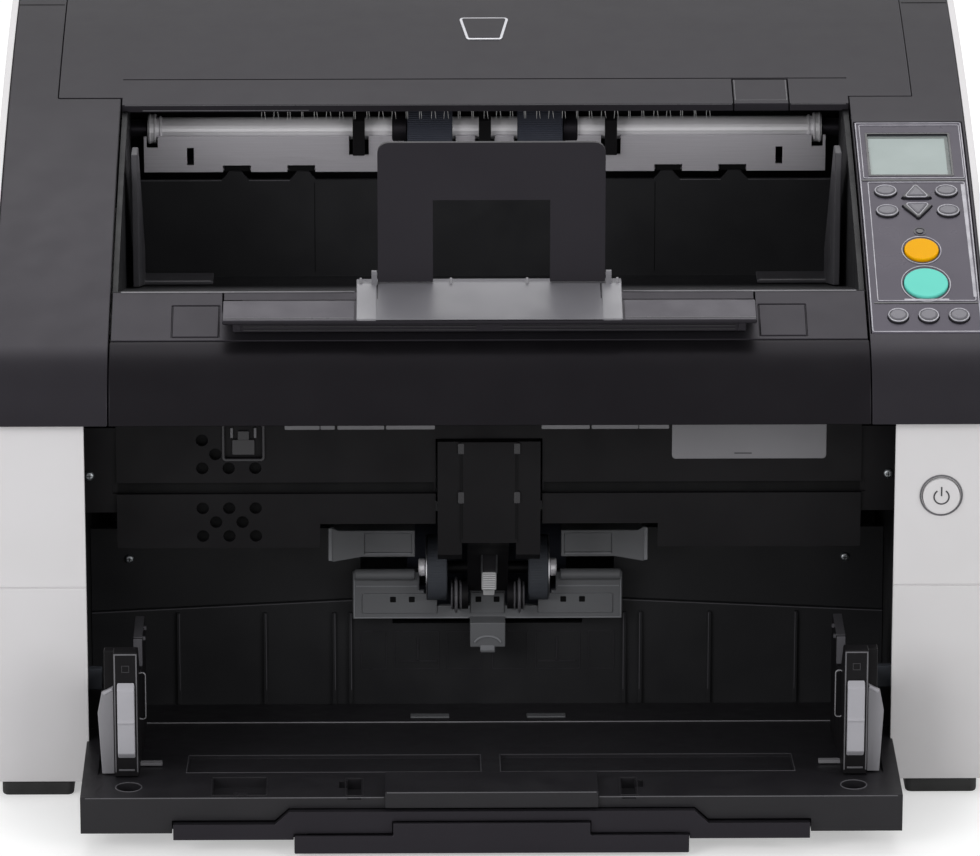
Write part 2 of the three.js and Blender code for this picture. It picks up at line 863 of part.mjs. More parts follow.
function chassis() {
  const frameOuter = frameInner + frameThickness;
  const frameFront = bodyFront + shellPanel + clearance;
  const outline = [[frameFront, footHeight], [frameRear, footHeight]];
  outline.push(...slopeLine(frameRear, slopeStart, frameTopDrop));
  outline.push([frameFront, beamBottom]);
  const pieces = sides.map(([, side]) => prismAlongX(outline, span(side, frameInner, frameOuter)));
  const basePlateSpan = [basePlateFront, bodyRear - clearance];
  pieces.push(box(both(frameOuter), basePlateSpan, [footHeight, footHeight + basePlateThickness]));
  const holeSpan = [frameInner - overrun, frameOuter + overrun];
  return cut(joined(pieces), [
    rodAlongX(feedShaftRadius + clearance, holeSpan, feedY, feedHeight, 20),
    rodAlongX(motorShaftRadius + clearance, holeSpan, motorY, feedHeight, 20),
  ]);
}

addPart('chassis', chassis(), coatedSteel);

// Feet under the four corners
const frontFoot = [bodyFront + footInset, bodyFront + footInset + footLength];
const rearFoot = [bodyRear - rearFootInset - footLength, bodyRear - rearFootInset];
for (const [sideName, side] of sides) {
  for (const [endName, [y0, y1]] of [['front', frontFoot], ['rear', rearFoot]]) {
    const middle = side * (footInner + footOuter) / 2;
    const outline = roundedRectangle((footOuter - footInner) / 2, y0, y1, footCornerRadius);
    addPart(
      `foot_${endName}_${sideName}`,
      prismAlongZ(shifted(outline, [middle, 0]), [0, footHeight]),
      footBlack,
    );
  }
}

// White side shells: outer wall, front panel with its seam and sloped band, and floor
function sideShell(side) {
  const wallInner = bodyHalfWidth - shellWall;
  const wallOutline = [[bodyFront, footHeight], [bodyRear, footHeight]];
  wallOutline.push(...slopeLine(bodyRear, slopeStart, 0, 12));
  const beamTop = beamArc(0, true).filter(([y]) => y > bodyFront);
  wallOutline.push(...beamTop.slice(1));
  const seamTop = shellSeamHeight + shellSeamGroove;
  const panelBack = bodyFront + shellPanel;
  const panelFace = bodyFront + shellBandSetback;
  const panelOutline = [
    [bodyFront, footHeight],
    [panelBack, footHeight],
    [panelBack, beamBottom - clearance],
    [panelFace, beamBottom - clearance],
    [panelFace, shellBandTop],
    [bodyFront, seamTop],
    [bodyFront + shellSeamGroove, seamTop],
    [bodyFront + shellSeamGroove, shellSeamHeight],
    [bodyFront, shellSeamHeight],
  ];
  const floorInner = frameInner + frameThickness + clearance;
  return joined([
    prismAlongX(wallOutline, span(side, wallInner, bodyHalfWidth)),
    prismAlongX(panelOutline, span(side, bayHalfWidth, bodyHalfWidth)),
    box(
      span(side, floorInner, bodyHalfWidth),
      [panelBack - shellSeamGroove, bodyRear],
      [footHeight, footHeight + shellFloor],
    ),
  ]);
}

addPart('left_side_shell', sideShell(-1), shellWhite);
const powerHole = rodAlongY(
  powerRadius + clearance,
  [bodyFront - overrun, bodyFront + shellPanel + overrun],
  powerX,
  powerHeight,
  32,
);
addPart('right_side_shell', sideShell(1).subtract(powerHole), shellWhite);

// Black top covers, each with its end of the front beam and the corner cut out for the feeder cover
const coverOuter = bodyHalfWidth - shellWall - clearance;
const coverInner = recessHalfWidth + clearance;

function coverShell(side) {
  const outline = slopeLine(coverRear, slopeStart, 0, 12);
  outline.push(...beamArc(0, true).slice(1));
  outline.push(...beamArc(coverThickness, false));
  outline.push(...slopeLine(slopeStart, coverRear, coverThickness, 12).slice(1));
  const shell = prismAlongX(outline, span(side, coverInner, coverOuter));
  const lidSpan = span(side, coverInner - overrun, lidHalfWidth + clearance);
  const lidDepth = [slopeHeight(lidCorner) - lidThickness * overrun, slopeHeight(coverRear) + overrun];
  return shell.subtract(box(lidSpan, [lidCorner - clearance, coverRear + overrun], lidDepth));
}

// A place on the curved top, with Z along the surface's outward direction
function onSlope(x, y, depth = 0) {
  const tilt = slopeTilt(y);
  const place = new THREE.Matrix4().makeRotationX(tilt);
  place.setPosition(x, y + depth * Math.sin(tilt), slopeHeight(y) - depth * Math.cos(tilt));
  return place;
}

function panelOutline(margin, topDepth, bottomDepth) {
  const y0 = panelFront - margin;
  const y1 = panelRear + margin;
  return [...slopeLine(y1, y0, topDepth), ...slopeLine(y0, y1, bottomDepth)];
}

const panelCut = prismAlongX(
  panelOutline(panelRecessMargin, -overrun, panelThickness + panelSetback + panelRecessMargin),
  [panelLeft - panelRecessMargin, panelRight + panelRecessMargin],
);

addPart('left_top_cover', coverShell(-1), coverBlack);
addPart('right_top_cover', coverShell(1).subtract(panelCut), coverBlack);

// Front beam between the covers' ends, a channel with a bottom flange that reaches back to the tray
function frontBeam() {
  const outline = slopeLine(beamTopEnd, slopeStart, 0, 1);
  outline.push(...beamArc(0, true).slice(1));
  const inside = beamArc(beamThickness, false).filter(([, z]) => z > beamBottom + beamThickness);
  outline.push([beamRear, beamBottom]);
  outline.push([beamRear, beamBottom + beamThickness]);
  outline.push([inside[0][0], beamBottom + beamThickness]);
  outline.push(...inside);
  outline.push([beamTopEnd, slopeHeight(beamTopEnd, beamThickness)]);
  return prismAlongX(outline, both(recessHalfWidth));
}

addPart('front_beam', frontBeam(), coverBlack);

// Rear cover with vents, the cutout for the inlet and the ears that carry the feeder cover's hinge pins
const inletX = (supplyLeft + supplyRight) / 2;
const inletBottom = footHeight + basePlateThickness + inletRise;

function rearCover() {
  const y0 = bodyRear - rearCoverThickness;
  const step = lidHalfWidth + 2 * clearance;
  const outline = [
    [-coverOuter, footHeight + shellFloor + clearance],
    [coverOuter, footHeight + shellFloor + clearance],
    [coverOuter, rearCoverSideTop],
    [step, rearCoverSideTop],
    [step, rearCoverMiddleTop],
    [-step, rearCoverMiddleTop],
    [-step, rearCoverSideTop],
    [-coverOuter, rearCoverSideTop],
  ];
  const pieces = [prismAlongY(outline, [y0, bodyRear])];
  const earInner = knuckleInner - clearance - hingeEarWidth;
  const earOutline = [
    [y0 + overrun, lidHingeHeight - knuckleRadius * 5],
    [y0 + overrun, lidHingeHeight - 2 * knuckleRadius],
    [lidHingeY + hingeEarRise, lidHingeHeight + hingeEarRise],
    [lidHingeY - hingeEarRise, lidHingeHeight + hingeEarRise],
    [lidHingeY - knuckleRadius, lidHingeHeight - knuckleRadius],
  ];
  for (const [, side] of sides) {
    pieces.push(prismAlongX(earOutline, span(side, earInner, earInner + hingeEarWidth)));
    pieces.push(rodAlongX(
      hingePinRadius,
      span(side, earInner, earInner + hingePinLength),
      lidHingeY,
      lidHingeHeight,
      16,
    ));
  }
  const cuts = [box(
    [inletX - inletHalfWidth - clearance, inletX + inletHalfWidth + clearance],
    [y0 - overrun, bodyRear + overrun],
    [inletBottom - clearance, inletBottom + inletHeight + clearance],
  )];
  for (let i = 0; i < rearVentCount; i += 1) {
    const x = rearVentCentre + (i - (rearVentCount - 1) / 2) * rearVentPitch;
    const ventSpan = [x - rearVentWidth / 2, x + rearVentWidth / 2];
    cuts.push(box(
      ventSpan,
      [y0 - overrun, bodyRear + overrun],
      [rearVentBottom, rearVentBottom + rearVentLength],
    ));
  }
  return cut(joined(pieces), cuts);
}

addPart('rear_cover', rearCover(), shellWhite);

// Feeder cover: curved skin, side skirts, front lip face and two hinge knuckles
function feederCover() {
  const y1 = coverRear;
  const skin = [...slopeLine(y1, lidFront, 0, 12), ...slopeLine(lidFront, y1, lidThickness, 12)];
  const skirt = [
    ...slopeLine(lidSkirtRear, lidCorner, 0, 8),
    ...slopeLine(lidCorner, lidSkirtRear, lidSkirtDepth, 8),
  ];
  const lipFace = [
    ...slopeLine(lidFront + lidThickness, lidFront, 0, 1),
    ...slopeLine(lidFront, lidFront + lidThickness, lipFaceDepth, 1),
  ];
  const pieces = [
    prismAlongX(skin, both(lidHalfWidth)),
    prismAlongX(lipFace, both(recessHalfWidth - trayWall - 3 * clearance)),
  ];
  const lugBottom = lidHingeHeight;
  for (const [, side] of sides) {
    pieces.push(prismAlongX(skirt, span(side, lidHalfWidth - lidThickness, lidHalfWidth)));
    const knuckle = span(side, knuckleInner, knuckleOuter);
    pieces.push(rodAlongX(knuckleRadius, knuckle, lidHingeY, lidHingeHeight, 20));
    const web = [lidHingeY - knuckleWeb / 2, lidHingeY + knuckleWeb / 2];
    pieces.push(box(knuckle, web, [lugBottom, slopeHeight(lidHingeY, lidThickness / 2)]));
  }
  const cornerHeights = [slopeHeight(lidFront) - lidSkirtDepth * overrun, slopeHeight(lidCorner) + overrun];
  const cuts = [];
  for (const [, side] of sides) {
    cuts.push(box(
      span(side, recessHalfWidth - clearance, lidHalfWidth + overrun),
      [lidFront - overrun, lidCorner],
      cornerHeights,
    ));
    cuts.push(rodAlongX(
      knuckleBore,
      span(side, knuckleInner - overrun, knuckleOuter + overrun),
      lidHingeY,
      lidHingeHeight,
      16,
    ));
  }
  cuts.push(prismAlongX(
    [
      ...slopeLine(lipSeam + lipGrooveWidth, lipSeam, -overrun, 1),
      ...slopeLine(lipSeam, lipSeam + lipGrooveWidth, lipGrooveDepth, 1),
    ],
    both(recessHalfWidth),
  ));
  const latchNotch = [latchLeft - latchGap, latchRight + latchGap];
  const latchHeights = [cornerHeights[0], slopeHeight(latchRear) + overrun];
  cuts.push(box(latchNotch, [lidFront - overrun, latchRear + latchGap], latchHeights));
  return cut(joined(pieces), cuts);
}

addPart('adf_cover', feederCover(), coverBlack);

// Release tab, with a stiffening rib underneath
function releaseTab() {
  const skin = [
    ...slopeLine(latchRear, lidFront, 0, 2),
    ...slopeLine(lidFront, latchRear, latchThickness, 2),
  ];
  const ribFront = lidFront + latchRibWidth;
  const rib = [
    ...slopeLine(ribFront, lidFront, latchThickness / 2, 1),
    ...slopeLine(lidFront, ribFront, latchRibDepth, 1),
  ];
  return prismAlongX(skin, [latchLeft, latchRight]).add(prismAlongX(rib, [latchLeft, latchRight]));
}

addPart('adf_latch', releaseTab(), coverBlack);

// Static brush: a backing strip with hanging strands, each leaning a little more than the last
function staticBrush() {
  const backing = box(
    both(brushBackingHalfWidth),
    [brushY - brushBackingThickness / 2, brushY + brushBackingThickness / 2],
    [brushBackingBottom, slopeHeight(brushY - brushBackingThickness / 2, lidThickness) - clearance],
  );
  const strands = [];
  for (let i = 0; i < brushCount; i += 1) {
    const x = (i - (brushCount - 1) / 2) * brushPitch;
    const lean = brushLean * Math.sin(i * 2.4);
    const top = new THREE.Vector3(x, brushY, brushBackingBottom + brushBackingThickness / 2);
    const tip = new THREE.Vector3(x + lean, brushY, brushTip);
    const path = new THREE.LineCurve3(tip, top);
    const shape = new THREE.Shape();
    for (const angle of [90, 210, 330]) {
      const x2 = brushStrandRadius * Math.cos(angle * degree);
      const y2 = brushStrandRadius * Math.sin(angle * degree);
      if (angle === 90) shape.moveTo(x2, y2);
      else shape.lineTo(x2, y2);
    }
    strands.push(solidOf(new THREE.ExtrudeGeometry(shape, { steps: 1, extrudePath: path })));
  }
  return joined([backing, ...strands]);
}

addPart('static_brush', staticBrush(), brushPale);

// Upper scan unit, hung under the feeder cover
function upperScanUnit() {
  const outline = [[upperScanFront, upperScanBottom], [scanRear, upperScanBottom]];
  outline.push(...slopeLine(scanRear, upperScanFront, lidThickness + clearance, 6));
  const glass = [scanGlassY, scanGlassY + scanGlassLength];
  const pocket = box(
    both(scanGlassHalfWidth),
    glass,
    [upperScanBottom - overrun, upperScanBottom + scanGlassDepth],
  );
  return prismAlongX(outline, both(upperScanHalfWidth)).subtract(pocket);
}

addPart('upper_scan_unit', upperScanUnit(), deepBlack);

// Lower scan unit across the frames, with guide fingers that reach over the exit shaft
function lowerScanUnit() {
  const body = box(both(frameInner - clearance), [lowerScanFront, scanRear], [lowerScanBottom, lowerScanTop]);
  const glass = [scanGlassY, scanGlassY + scanGlassLength];
  const pocket = box(
    both(scanGlassHalfWidth),
    glass,
    [lowerScanTop - scanGlassDepth, lowerScanTop + overrun],
  );
  const fingerBack = fingerFront + fingerThickness;
  const fingerRoof = fingerTop - fingerThickness;
  const outline = [
    [lowerScanFront + fingerThickness, fingerTop],
    [fingerFront + fingerChamfer, fingerTop],
    [fingerFront, fingerTop - fingerChamfer],
    [fingerFront, fingerTip],
    [fingerBack, fingerTip],
    [fingerBack, fingerRoof],
    [lowerScanFront + fingerThickness, fingerRoof],
  ];
  const fingers = fingerCentres.map((x) => prismAlongX(outline, [x - fingerHalfWidth, x + fingerHalfWidth]));
  return joined([body.subtract(pocket), ...fingers]);
}

addPart('lower_scan_unit', lowerScanUnit(), deepBlack);

// Exit shaft with collars, its rubber rollers and the stainless plate in front of it
const ejectShaft = joined([
  rodAlongX(ejectEndRadius, both(frameInner - clearance), ejectY, ejectHeight, 24),
  rodAlongX(ejectShaftRadius, both(ejectCollarInner), ejectY, ejectHeight, 24),
  ...sides.map(
    ([, side]) => rodAlongX(
      ejectCollarRadius,
      span(side, ejectCollarInner, ejectCollarOuter),
      ejectY,
      ejectHeight,
      24,
    ),
  ),
]);
addPart('eject_shaft', ejectShaft, chrome);

function tyre(side, inner, outer, radius, bore, y, z) {
  const width = span(side, inner, outer);
  const hole = rodAlongX(bore, span(side, inner - overrun, outer + overrun), y, z, 24);
  return rodAlongX(radius, width, y, z, 40).subtract(hole);
}

for (const [sideName, side] of sides) {
  const bore = ejectShaftRadius + clearance;
  const roller = tyre(side, ejectRollerInner, ejectRollerOuter, ejectRollerRadius, bore, ejectY, ejectHeight);
  addPart(`eject_roller_${sideName}`, roller, rubberNavy);
}

function exitPlate() {
  const rear = lowerScanFront - clearance;
  const y1 = exitPlateY + exitPlateThickness;
  const face = box(both(exitPlateHalfWidth), [exitPlateY, y1], [exitPlateBottom, exitPlateTop]);
  const flange = box(
    both(exitPlateHalfWidth),
    [exitPlateY, rear],
    [exitPlateBottom, exitPlateBottom + exitPlateThickness],
  );
  const depth = [exitPlateY - overrun, y1 + overrun];
  const cuts = [];
  const slotInner = exitPlateHalfWidth - exitSlotInset;
  const slotBottom = exitPlateBottom + exitSlotRise;
  for (const [, side] of sides) {
    cuts.push(box(
      span(side, slotInner, slotInner + exitSlotWidth),
      depth,
      [slotBottom, slotBottom + exitSlotHeight],
    ));
    for (const [inner, outer] of exitNotches) {
      cuts.push(box(span(side, inner, outer), depth, [exitPlateBottom - overrun, exitNotchTop]));
    }
    const rollerSpan = span(
      side,
      ejectRollerInner - exitRollerCutMargin,
      ejectRollerOuter + exitRollerCutMargin,
    );
    cuts.push(box(rollerSpan, depth, [exitRollerCutBottom, exitPlateTop + overrun]));
  }
  const collarTop = [ejectHeight - ejectCollarRadius - exitFingerGap, exitPlateTop + overrun];
  for (const [, side] of sides) {
    const collar = span(side, ejectCollarInner - exitFingerGap, ejectCollarOuter + exitFingerGap);
    cuts.push(box(collar, depth, collarTop));
  }
  for (const x of fingerCentres) {
    const reach = fingerHalfWidth + exitFingerMargin;
    cuts.push(box([x - reach, x + reach], depth, [fingerTip - exitFingerGap, exitPlateTop + overrun]));
  }
  return cut(joined([face, flange]), cuts);
}

addPart('exit_plate', exitPlate(), stainless);

// Stacker tray: sloping floor with a slot for the extension, shelf, back wall with tabs, and side walls
const extensionSlotHalfWidth = extensionHalfWidth + clearance;

function stackerTray() {
  const wallOuter = recessHalfWidth - clearance;
  const wallInner = wallOuter - trayWall;
  const front = beamRear + clearance;
  const slab = [
    [shelfFront, shelfHeight],
    [traySlabFront, floorHeight(traySlabFront)],
    [traySlabFront, floorHeight(traySlabFront) - traySlabDepth],
    [shelfFront, shelfHeight - traySlabDepth],
  ];
  const slot = [
    [extensionRear + overrun, floorHeight(extensionRear + overrun) - extensionDrop + clearance],
    [traySlabFront - overrun, floorHeight(traySlabFront - overrun) - extensionDrop + clearance],
    [
      traySlabFront - overrun,
      floorHeight(traySlabFront - overrun) - extensionDrop - extensionThickness - clearance,
    ],
    [
      extensionRear + overrun,
      floorHeight(extensionRear + overrun) - extensionDrop - extensionThickness - clearance,
    ],
  ];
  const shelf = box(
    both(wallOuter),
    [shelfFront - shelfThickness, trayWallRear],
    [shelfHeight - shelfThickness, shelfHeight],
  );
  const backWall = box(
    both(wallOuter),
    [trayBackFront, trayBackFront + trayBackThickness],
    [shelfHeight - shelfThickness, trayBackTop],
  );
  const sideOutline = [[front, trayFrontWallBottom], [front, slopeHeight(front, trayWallDrop)]];
  sideOutline.push(...slopeLine(front, trayWallRear, trayWallDrop, 8).slice(1));
  sideOutline.push([trayWallRear, shelfHeight - shelfThickness]);
  sideOutline.push([shelfFront, shelfHeight - traySlabDepth]);
  const frontWall = box(both(wallOuter), [front, front + trayWall], [trayFrontWallBottom, trayFrontWallTop]);
  const strutEnd = traySlabFront + trayWall;
  const strutRear = floorHeight(strutEnd) - extensionDrop - extensionThickness - 2 * clearance;
  const strut = [
    [strutEnd, strutRear - trayStrutThickness],
    [strutEnd, strutRear],
    [front, trayFrontWallTop],
    [front, trayFrontWallTop - trayStrutThickness],
  ];
  const pieces = [
    prismAlongX(slab, both(wallOuter)).subtract(prismAlongX(slot, both(extensionSlotHalfWidth))),
    shelf,
    backWall,
    frontWall,
    prismAlongX(strut, both(wallOuter)),
  ];
  for (const [, side] of sides) {
    pieces.push(prismAlongX(sideOutline, span(side, wallInner, wallOuter)));
    for (const [inner, outer] of trayTabs) {
      const [leftEnd, rightEnd] = span(side, inner, outer);
      const tab = [
        [leftEnd - trayTabFlare, trayBackTop - overrun],
        [rightEnd + trayTabFlare, trayBackTop - overrun],
        [rightEnd + trayTabFlare, trayBackTop],
        [rightEnd, trayBackTop + trayTabFlare],
        [rightEnd - trayTabChamfer, trayTabTop],
        [leftEnd + trayTabChamfer, trayTabTop],
        [leftEnd, trayBackTop + trayTabFlare],
        [leftEnd - trayTabFlare, trayBackTop],
      ];
      pieces.push(prismAlongY(tab, [trayBackFront, trayBackFront + trayBackThickness]));
    }
  }
  return joined(pieces);
}

addPart('stacker_tray', stackerTray(), trayBlack);

// Stacker front cover on the slope with a grooved pad at each end, open in the middle for the extension
function stackerFrontCover() {
  const rear = traySlabFront - clearance;
  const outline = [
    ...slopeLine(rear, flapCoverFront, 0, 3),
    ...slopeLine(flapCoverFront, rear, flapCoverThickness, 3),
  ];
  const heights = [slopeHeight(flapCoverFront), slopeHeight(rear) + overrun];
  const notch = box(
    both(flapCoverNotchHalfWidth),
    [flapCoverMiddleRear, rear + overrun],
    [heights[0], heights[1]],
  );
  const pad = (side, margin, depth) => prismAlongX(
    [
      ...slopeLine(flapPadRear - margin, flapPadFront + margin, -depth, 2),
      ...slopeLine(flapPadFront + margin, flapPadRear - margin, depth, 2),
    ],
    span(side, flapPadInner + margin, flapPadInner + flapPadWidth - margin),
  );
  const grooves = sides.map(
    ([, side]) => pad(side, 0, flapPadGroove).subtract(pad(side, flapPadGroove, overrun)),
  );
  return cut(prismAlongX(outline, both(flapCoverHalfWidth)), [notch, ...grooves]);
}

addPart('stacker_front_cover', stackerFrontCover(), coverBlack);

// Stacker extension: a plate under the floor, with a slanted lip over the front cover and a chin set back under it
function extensionTop(y) {
  return floorHeight(y) - extensionDrop;
}

function stackerExtension() {
  const plate = [
    [extensionRear, extensionTop(extensionRear)],
    [extensionHeadRear, extensionTop(extensionHeadRear)],
    [extensionHeadRear, extensionTop(extensionHeadRear) - extensionThickness],
    [extensionRear, extensionTop(extensionRear) - extensionThickness],
  ];
  const headFrontTop = extensionHeadRear - extensionChinThickness;
  const headSlope = (extensionTop(headFrontTop) - extensionLipHeight) / (headFrontTop - extensionLipY);
  const [edgeBack, edgeDown] = extensionLipEdge;
  const headBack = extensionHeadRear + extensionChinThickness;
  const underLip = (y) => extensionLipHeight - edgeDown + headSlope * (y - extensionLipY - edgeBack);
  const lip = [
    [headBack, extensionTop(headBack)],
    [headFrontTop, extensionTop(headFrontTop)],
    [extensionLipY, extensionLipHeight],
    [extensionLipY + edgeBack, extensionLipHeight - edgeDown],
    [headFrontTop, underLip(headFrontTop)],
    [headBack, extensionTop(headBack) - extensionThickness],
  ];
  const chin = [
    [headFrontTop, extensionTop(headFrontTop) - edgeDown / 2],
    [extensionChinY, underLip(extensionChinY) + edgeDown / 2],
    [extensionChinY, extensionChinHeight],
    [extensionChinY + extensionChinThickness, extensionChinHeight + extensionChinThickness / 2],
    [headBack, extensionTop(headBack) - extensionThickness],
  ];
  const channel = [
    [stopperTongueRear, extensionTop(stopperTongueRear) - stopperTongueDepth - clearance],
    [stopperTongueRear, extensionTop(stopperTongueRear) + overrun],
    [extensionLipY - overrun, extensionTop(extensionLipY) + overrun],
    [extensionLipY - overrun, extensionTop(extensionLipY - overrun) - stopperTongueDepth - clearance],
  ];
  const channelSpan = both(stopperTongueHalfWidth + clearance);
  return prismAlongX(plate, both(extensionHalfWidth))
    .add(prismAlongX(lip, both(extensionHeadHalfWidth)))
    .add(prismAlongX(chin, both(extensionChinHalfWidth)))
    .subtract(prismAlongX(channel, channelSpan));
}

addPart('stacker_extension', stackerExtension(), coverBlack);

// Stopper slide: a wedge with a slanted front, a tongue in the extension's channel and ears for the flap
function stopperSlide() {
  const lift = clearance + stopperRise;
  const headFrontTop = extensionHeadRear - extensionChinThickness;
  const wedge = [
    [stopperRear, extensionTop(stopperRear) + clearance],
    [stopperRear, stopperCrestHeight - stopperRise],
    [stopperCrestY, stopperCrestHeight],
    [extensionLipY - lift, extensionLipHeight + lift],
    [extensionLipY, extensionLipHeight + clearance],
    [headFrontTop, extensionTop(headFrontTop) + clearance],
  ];
  const tongue = [
    [stopperTongueRear - clearance, extensionTop(stopperTongueRear - clearance) - stopperTongueDepth],
    [stopperTongueRear - clearance, extensionTop(stopperTongueRear - clearance)],
    [headFrontTop, extensionTop(headFrontTop)],
    [headFrontTop, extensionTop(headFrontTop) - stopperTongueDepth],
  ];
  const neck = [
    [stopperRear, extensionTop(stopperRear) - clearance],
    [stopperRear, extensionTop(stopperRear) + 2 * clearance],
    [headFrontTop, extensionTop(headFrontTop) + 2 * clearance],
    [headFrontTop, extensionTop(headFrontTop) - clearance],
  ];
  const pieces = [
    prismAlongX(wedge, both(stopperHalfWidth)),
    prismAlongX(tongue, both(stopperTongueHalfWidth)),
    prismAlongX(neck, both(stopperTongueHalfWidth)),
  ];
  const earInner = flapHalfWidth + clearance;
  const ears = [];
  for (const [, side] of sides) {
    const ear = span(side, earInner, earInner + flapEarWidth);
    ears.push(rodAlongX(flapEarRadius, ear, flapY, flapAxisHeight, 16));
    ears.push(box(
      ear,
      [flapY - flapEarRadius, flapY + flapEarRadius],
      [stopperCrestHeight - flapEarRadius, flapAxisHeight],
    ));
    ears.push(rodAlongX(
      flapPinRadius,
      span(side, earInner - flapPinLength, earInner + flapEarWidth),
      flapY,
      flapAxisHeight,
      12,
    ));
  }
  return joined([...pieces, joined(ears).translate([flapOffset, 0, 0])]);
}

addPart('stopper_slide', stopperSlide(), slideGrey);

// Stopper flap: a rounded plate with a window that is open at the bottom
function stopperFlap() {
  const depth = [flapY - flapThickness / 2, flapY + flapThickness / 2];
  const outline = roundedRectangle(
    flapHalfWidth,
    flapBottom - 2 * flapCornerRadius,
    flapTop,
    flapCornerRadius,
  );
  const plate = prismAlongY(outline, depth).trimByPlane([0, 0, 1], flapBottom);
  const cuts = [box(
    both(flapWindowHalfWidth),
    [depth[0] - overrun, depth[1] + overrun],
    [flapBottom - overrun, flapWindowTop],
  )];
  for (const [, side] of sides) {
    const bore = span(side, flapHalfWidth - flapPinLength - clearance, flapHalfWidth + overrun);
    cuts.push(rodAlongX(flapPinRadius + clearance / 2, bore, flapY, flapAxisHeight, 12));
  }
  return cut(plate, cuts).translate([flapOffset, 0, 0]);
}

addPart('stopper_flap', stopperFlap(), coverBlack);

// Stacker side guides, each with a foot on the shelf
function stackerGuide(side) {
  const inner = stackGuideInner;
  const plate = [
    [stackGuideFront, floorHeight(stackGuideFront) + 2 * clearance],
    [stackGuideFront, stackGuideTop],
    [stackGuideFront + stackGuideTopLength, stackGuideTop],
    [stackGuideRear, stackGuideRearHeight],
    [stackGuideRear, shelfHeight + clearance],
    [stackGuideFootFront, shelfHeight + clearance],
  ];
  const foot = box(
    span(side, inner - stackGuideFootWidth, inner + stackGuideThickness),
    [stackGuideFootFront, stackGuideRear],
    [shelfHeight + clearance, shelfHeight + clearance + stackGuideFootThickness],
  );
  return prismAlongX(plate, span(side, inner, inner + stackGuideThickness)).add(foot);
}

addPart('left_stacker_guide', stackerGuide(-1), trayBlack);
addPart('right_stacker_guide', stackerGuide(1), trayBlack);

// Inner panel with vents, a socket and a groove, brackets to the frames and ears for the pick arm
function innerPanel() {
  const y0 = innerPanelY - innerPanelThickness / 2;
  const y1 = innerPanelY + innerPanelThickness / 2;
  const plate = box(both(innerPanelHalfWidth), [y0, y1], [innerPanelBottom, innerPanelTop]);
  const bracketY = [y0 + innerBracketSetback / 2, y1 + innerBracketSetback];
  const pieces = [plate];
  const earInner = innerPanelGap;
  for (const [, side] of sides) {
    const bracket = span(side, innerPanelHalfWidth - innerPanelThickness, frameInner - clearance);
    pieces.push(box(bracket, bracketY, [innerBracketBottom, innerBracketTop]));
    const ear = span(side, earInner, earInner + pickEarThickness);
    pieces.push(rodAlongX(pickEarRadius, ear, pickPivotY, pickPivotHeight, 20));
    pieces.push(box(
      ear,
      [innerPanelY, pickPivotY],
      [pickPivotHeight - pickEarRadius, pickPivotHeight + pickEarRadius],
    ));
  }
  const through = [y0 - overrun, y1 + overrun];
  const cuts = [
    box(both(innerPanelGap), through, [innerPanelBottom - overrun, pickCheekTop + clearance * 3]),
    box(
      both(innerPanelArchHalfWidth),
      through,
      [innerPanelBottom - overrun, innerPanelBottom + innerPanelArchHeight],
    ),
    box(
      both(innerPanelHalfWidth + overrun),
      [y0 - overrun, y0 + innerPanelGrooveDepth],
      [innerPanelGrooveBottom, innerPanelGrooveTop],
    ),
    box([socketLeft, socketRight], [y0 - overrun, y0 + socketDepth], [socketBottom, socketTop]),
  ];
  for (const [, side] of sides) {
    const bore = span(side, earInner - overrun, earInner + pickEarThickness + overrun);
    cuts.push(rodAlongX(pickPivotRadius + clearance, bore, pickPivotY, pickPivotHeight, 20));
  }
  const ventRows = [[ventUpperTop, ventUpperColumns], [ventLowerTop, ventLowerColumns]];
  for (const [top, columns] of ventRows) {
    columns.forEach((rows, column) => rows.forEach((row) => {
      const x = ventLeft + column * ventPitch / 2;
      cuts.push(rodAlongY(ventRadius, through, x, top - row * ventRowHeight, 12));
    }));
  }
  return cut(joined(pieces), cuts);
}

addPart('inner_panel', innerPanel(), deepBlack);

// Pick arm: cheeks and cover in the panel's gap, a web down to the roller shaft, and two small discs
function pickArm() {
  const web = [
    [pickCheekFront + pickBridgeDepth / 2, pickCheekTop],
    [pickCheekFront + pickBridgeDepth / 2, pickCoverBottom],
    [wingFront, (pickCoverBottom + pickWebBottom) / 2],
    [pickDiscY, pickWebBottom],
    [pickRollerY + 2 * pickShaftRadius, pickWebBottom],
    [pickWebTail, pickRollerHeight + 2 * pickShaftRadius],
    [pickCheekRear, pickCheekTop],
  ];
  const cheek = [
    [pickCheekFront, pickCheekTop],
    [pickCheekFront, pickCheekBottom],
    [pickCheekFront + 2 * pickBridgeDepth, pickCheekBottom - pickBridgeDepth],
    [pickCheekRear, pickCheekBottom + 2 * pickBridgeDepth],
    [pickCheekRear, pickCheekTop],
  ];
  const bridge = [pickCheekTop - pickBridgeDepth, pickCheekTop];
  const pieces = [
    prismAlongX(web, both(pickWebHalfWidth)),
    box(
      both(pickCoverHalfWidth),
      [pickCheekFront - clearance * 3, pickCheekFront + pickBridgeDepth / 2 + clearance],
      [pickCoverBottom, pickCheekTop],
    ),
    box(both(pickCheekOuter), [pickCheekFront + pickBridgeDepth / 2, pickCheekRear], bridge),
    rodAlongX(pickPivotRadius, both(pickPivotHalfWidth), pickPivotY, pickPivotHeight, 20),
    rodAlongX(pickShaftRadius, both(pickShaftHalfWidth), pickRollerY, pickRollerHeight, 20),
  ];
  for (const [, side] of sides) {
    pieces.push(prismAlongX(cheek, span(side, pickCheekInner, pickCheekOuter)));
    pieces.push(rodAlongX(
      pickDiscRadius,
      span(side, pickWebHalfWidth - clearance, pickDiscOuter),
      pickDiscY,
      pickDiscHeight,
      24,
    ));
  }
  return joined(pieces);
}

addPart('pick_arm', pickArm(), deepBlack);

